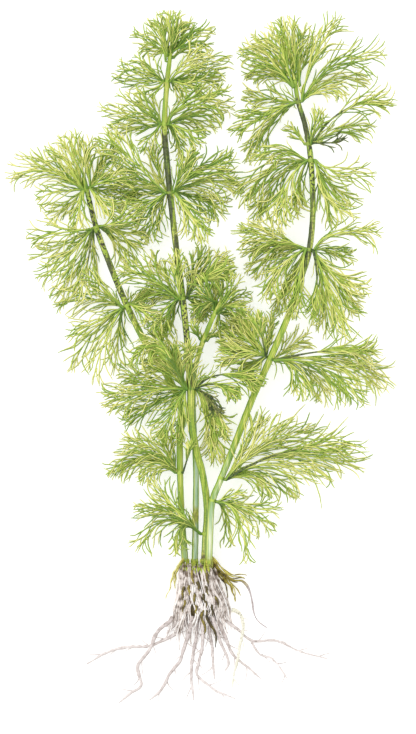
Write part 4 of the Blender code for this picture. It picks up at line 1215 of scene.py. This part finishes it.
def add_stem_base(tubes, end):
    """Fibres in which the foot of a stem runs out over the matted roots."""
    x, y, z, radius = end
    u = spaced("fibre")
    for turn in np.linspace(0, np.pi, FIBRES) + rng.uniform(-FIBRE_SHIFT, FIBRE_SHIFT, FIBRES):
        top = y + FIBRE_START
        top_z = z + FIBRE_INSET * radius * np.sin(turn)
        down = top - draw("fibre_length") * u
        across = x + radius * np.cos(turn) + draw("fibre_stray") * u ** 2
        middle_x, middle_z, half_width, half_height = crown_section(down)
        share = np.clip((across - middle_x) / half_width, -CROWN_EDGE, CROWN_EDGE)
        over = middle_z + half_height * np.sqrt(1 - share ** 2) + FIBRE_LIFT
        sunk = np.clip((top - SINK_FROM - down) / SINK_LENGTH, 0, 1)
        height = top_z * (1 - sunk) + np.maximum(over, 0) * sunk
        points = np.column_stack((across, down, height))
        tubes.add(points, profile("fibre", u), "fibre", sheath=draw("whole"))


def crown_section(y):
    """Middle x, middle z, half width and half height of the crown at `y`."""
    heights, *columns = np.array(CROWN)[::-1].T
    return [np.interp(y, heights, column) for column in columns]


def root_finish(name):
    """Roots: soft streaks along them, brown specks, a painted shade on the flank that faces down the plant,
    and grey where they thin.
    """
    finish = Finish(name)
    dark, body, light, edge = ROOT_FINISHES[name]
    grain = finish.noise(3.5, 3)
    shade = grain * 0.7 + finish.painted("tint") * 0.4 - 0.05
    finish.colour = finish.ramp(shade, (0.25, dark), (0.45, body), (0.72, light))
    # Painted shade: the dark colour laid on the flank that faces down the plant and to the right, as strongly
    # as the finish's last value.
    painted_shade = finish.facing(0.6, -0.7, 0).above(0.2, 0.8)
    finish.coat(painted_shade * edge, dark)
    finish.coat(finish.painted("grey"), ROOT_GREY)
    speck = finish.noise(1.1, 2).above(0.58, 0.68) * finish.painted("dark")
    finish.coat(speck * 0.8, ROOT_SPECK)
    finish.bump(finish.noise(1.4, 3), 0.5, 0.7)
    return finish.surface(Base_Color=finish.colour, Roughness=grain * 0.3 + 0.5)


def add_roots(finishes):
    for name, (points, thick, thin) in ROOTS.items():
        shares = np.linspace(0, 1, len(points))
        rows = [(*point, thick + (thin - thick) * share) for point, share in zip(points, shares)]
        rows = [(*point, thick) for point in ROOT_STARTS.get(name, ())] + rows
        fine = smooth_route(rows, ROOT_STEP)
        fine[:, 3] *= SLENDER_ROOTS.get(name, 1)
        tubes = Tubes()
        if name in BUNDLES:
            add_bundle(tubes, fine, *BUNDLES[name])
            kind, slot = "olive root", "olive_root"
        else:
            add_root(tubes, fine)
            kind, slot = "pale root", "root"
        finish = finishes[SPECIAL_ROOTS.get(name, kind)]
        add_piece(name + "_skin", tubes, ROOT_MARKS, finish, name)


def add_bundle(tubes, fine, strands, spread, shortest, greys):
    """Strands twisted round the middle of a root; all but the first part from it and end in a hook."""
    count = len(fine)
    u = np.linspace(0, 1, count)
    across = unit(np.cross(np.gradient(fine[:, :3], axis=0), UP))
    for k in range(strands):
        reach = min(count, int(count * rng.uniform(shortest, BUNDLE_REACH * shortest))) if k else count
        v = np.minimum(1, u * count / reach)
        phase = 2 * np.pi * k / strands + u * draw("twist")
        away = spread * sum(weight * v ** power for weight, power in BUNDLE_PARTING) * (k > 0)
        points = fine[:, :3] + across * (np.cos(phase) * away)[:, None]
        points[:, 2] += np.sin(phase) * away * BUNDLE_FLATNESS
        radii = profile("bundle", v) * (fine[:, 3] if k == 0 else BUNDLE_STRAND)
        radii = radii * (1 + BUNDLE_KNOB * np.sin(u * draw("bundle_knobs")))
        points += across * (BUNDLE_WAVE * v * np.sin(u * draw("bundle_waves") + k))[:, None]
        points[:, 2] = np.maximum(points[:, 2], radii + ROOT_CLEARANCE)
        grey = profile("bundle_grey", u) * greys
        tint = BUNDLE_DARK_TINT if k % 3 == 1 else draw("bundle_tint")
        tubes.add(points[:reach], radii[:reach], "bundle", tint=tint, dark=1, grey=grey[:reach])


def add_root(tubes, fine):
    """A knobbly root that tapers to its end, and the rootlets along it."""
    count = len(fine)
    u = np.linspace(0, 1, count)
    knots = np.arange(0, count + KNOB_STEP, KNOB_STEP)
    knobs = np.interp(np.arange(count), knots, rng.normal(1, KNOB_NOISE, len(knots)))
    radii = fine[:, 3] * knobs * profile("root", u)
    wander = np.cumsum(rng.normal(0, WANDER_NOISE, (count, 3)), axis=0) * np.sin(np.pi * u)[:, None]
    wander[:, 2] *= WANDER_RISE
    points = fine[:, :3] + np.clip(wander, -MOST_WANDER, MOST_WANDER)
    points[:, 2] = np.maximum(points[:, 2], radii + ROOT_CLEARANCE)
    tint = profile("root_tint", u) + rng.normal(0, ROOT_TINT_NOISE)
    tubes.add(points, radii, "root", tint=tint, dark=profile("root_dark", u))
    for i in np.arange(rng.integers(*FIRST_ROOTLET), count - BARE_ROOT_END, rng.integers(*ROOTLET_SPACING)):
        add_rootlet(tubes, points[i], points[i + 1] - points[i - 1], radii[i])


def add_rootlet(tubes, start, ahead, radius):
    """A hair-thin rootlet that leaves a root to one side and sinks to the surface."""
    length = draw("rootlet_length")
    angle = rng.choice((-1, 1)) * draw("rootlet_angle")
    first = turned(unit(ahead[:2]), angle)
    second = turned(first, draw("rootlet_bend"))
    u = spaced("rootlet")
    plan = start[:2] + hook(first, second, u) * length
    height = np.maximum(start[2] * (1 - u) ** 2, LOWEST_ROOTLET)
    places, (thickest, *thinner) = PROFILES["rootlet"]
    radii = np.interp(u, places, (min(radius, thickest), *thinner))
    tubes.add(np.column_stack((plan, height)), radii, "rootlet", tint=draw("rootlet_tint"), dark=ROOTLET_DARK)


def add_crown_mat(finishes):
    """The matted bases of the roots: pale strands that wind down from the stems, and dark ones between."""
    tubes = Tubes()
    for k in range(STRANDS):
        turn = np.arccos(draw("cosine")) * (1 if k % STRANDS_IN_TURN < STRANDS_ABOVE else -1)
        add_strand(tubes, turn, draw("strand_top"), rng.triangular(*STRAND_END), draw("strand_radius"))
    add_piece("root_crown_strands", tubes, ROOT_MARKS, finishes["matted root"], "root_crown")
    tubes = Tubes()
    for x, y in DARK_DASHES:
        turn = np.arccos(x / CROWN_HALF_WIDTH)
        top, end = y + draw("dash_half"), y - draw("dash_half")
        add_strand(tubes, turn, top, end, draw("dash_radius"), DASH_DEPTH)
    for x, end in LONG_DARK_ENDS:
        turn = np.arccos(x / CROWN_HALF_WIDTH)
        add_strand(tubes, turn, LONG_DARK_TOP, end, LONG_DARK_RADIUS, LONG_DARK_DEPTH)
    add_piece("root_crown_dark_strands", tubes, ROOT_MARKS, finishes["dark matted root"], "root_crown")


def add_strand(tubes, turn, top, end, radius, depth=None):
    """One strand of the mat, from `top` down to `end`, at `turn` round the crown."""
    u = spaced("strand")
    length = top - end
    turn = turn + (rng.normal(0, STRAND_SWING) * length * u
                   + STRAND_WAVE * length * np.sin(u * draw("strand_waves") + draw("phase")))
    browned = 1.0
    if depth is None:
        depth = draw("strand_depth")
        browned = profile("strand_tint", u)
    y = np.linspace(top, end, len(u))
    x, z, half_width, half_height = crown_section(y)
    below = np.maximum(0, CROWN_BOTTOM - y)
    x = (x + half_width * np.cos(turn) * depth) * (1 + PARTING_BELOW * below)
    tint = draw("strand_tint") * browned
    radii = radius * profile("strand", u)
    radii = radii * (1 + STRAND_KNOB * np.sin(u * draw("strand_knobs") + draw("phase")))
    z = np.maximum(z + half_height * np.sin(turn) * depth - SINKING_BELOW * below, radii)
    tubes.add(np.column_stack((x, y, z)), radii, "strand", tint=tint, dark=draw("whole"))


def add_crown_core(finishes):
    tubes = Tubes()
    y, x, z, half_width, half_height = np.transpose(CROWN)
    radii = half_width * profile("core_by_y", y)
    tubes.add(np.column_stack((x, y, z)), radii, "core", half_height / half_width, tint=CORE_TINT, dark=1)
    add_piece("root_crown_core", tubes, ROOT_MARKS, finishes["crown core"], "root_crown")


def add_leaves(routes):
    whorls = {}
    for name, (stem, y, _, rows) in WHORLS.items():
        middle, along, radius = stem_at(routes[stem], y)
        ring_radius = radius + GAP + ROOTED_SHARE * COLLAR_WALL
        whorls[name] = (middle, along, radius, [Leaf(row, middle, along, ring_radius) for row in rows])
    lay_all(routes, whorls)
    leaf_green = leaf_finish("leaf threads")
    for name, (middle, along, radius, leaves) in whorls.items():
        tubes = Tubes()
        stem, _, crowding, _ = WHORLS[name]
        dark = np.interp(middle[1], *np.transpose(STEM_MARKS[stem]["dark"]))
        add_joint(tubes, middle, along, radius, dark)
        young = name.endswith("tuft")
        if young:
            add_stem_tip(tubes, middle, along, radius, STEM_SHADES[stem])
        for leaf in leaves:
            leaf.settle(crowding, along * draw("leaf_rise") * TIP_RISE * young)
            grow_leaf(leaf, tubes, STEM_SHADES[stem])
        around = sorted(leaves, key=lambda leaf: np.arctan2(*(leaf.tip[:2] - leaf.middle[:2])))
        for leaf, following in zip(around, around[1:] + around[:1]):
            grow_between(leaf, following, tubes, smooth_route(routes[stem], BESIDE_STEP))
        add_piece(name + "_threads", tubes, LEAF_MARKS, leaf_green, name)


def add_object(name, data):
    made = bpy.data.objects.new(name, data)
    bpy.context.scene.collection.objects.link(made)
    return made


def add_studio():
    mesh = bpy.data.meshes.new("floor")
    corners = [(x * FLOOR_HALF, y * FLOOR_HALF, 0) for x, y in ((-1, -1), (1, -1), (1, 1), (-1, 1))]
    mesh.from_pydata(corners, [], [(0, 1, 2, 3)])
    mesh.materials.append(Finish("pale floor").surface(**FLOOR_LOOKS))
    add_object("floor", mesh)
    world = bpy.data.worlds.new("studio")
    world.use_nodes = True
    bpy.context.scene.world = world
    background = world.node_tree.nodes["Background"].inputs
    background["Color"].default_value = (1, 1, 1, 1)
    background["Strength"].default_value = ROOM_LIGHT
    lamp = bpy.data.lights.new("soft box", "AREA")
    lamp.shape = "DISK"
    lamp.size = LAMP_SIZE
    lamp.energy = LAMP_POWER
    box = add_object("soft box", lamp)
    box.location = LAMP_PLACE
    box.rotation_euler = box.location.to_track_quat("Z", "Y").to_euler()


def add_camera():
    """A camera that looks straight down, with the photograph's frame."""
    camera = bpy.data.cameras.new("camera")
    camera.sensor_fit = "VERTICAL"
    camera.sensor_height = SENSOR
    camera.lens = SENSOR * CAMERA_HEIGHT / (PHOTO[1] * PIXEL * MM)
    view = add_object("camera", camera)
    aside, above = PHOTO[0] / 2 - ORIGIN[0], ORIGIN[1] - PHOTO[1] / 2
    view.location = (aside * PIXEL * MM, above * PIXEL * MM, CAMERA_HEIGHT)
    bpy.context.scene.camera = view
    bpy.context.scene.view_settings.view_transform = "Standard"


stem_routes = {name: smooth_route(rows, STEM_STEP) for name, rows in STEMS.items()}
root_finishes = {name: root_finish(name) for name in ROOT_FINISHES}
add_stems(stem_routes)
add_roots(root_finishes)
add_crown_mat(root_finishes)
add_crown_core(root_finishes)
add_leaves(stem_routes)
add_studio()
add_camera()
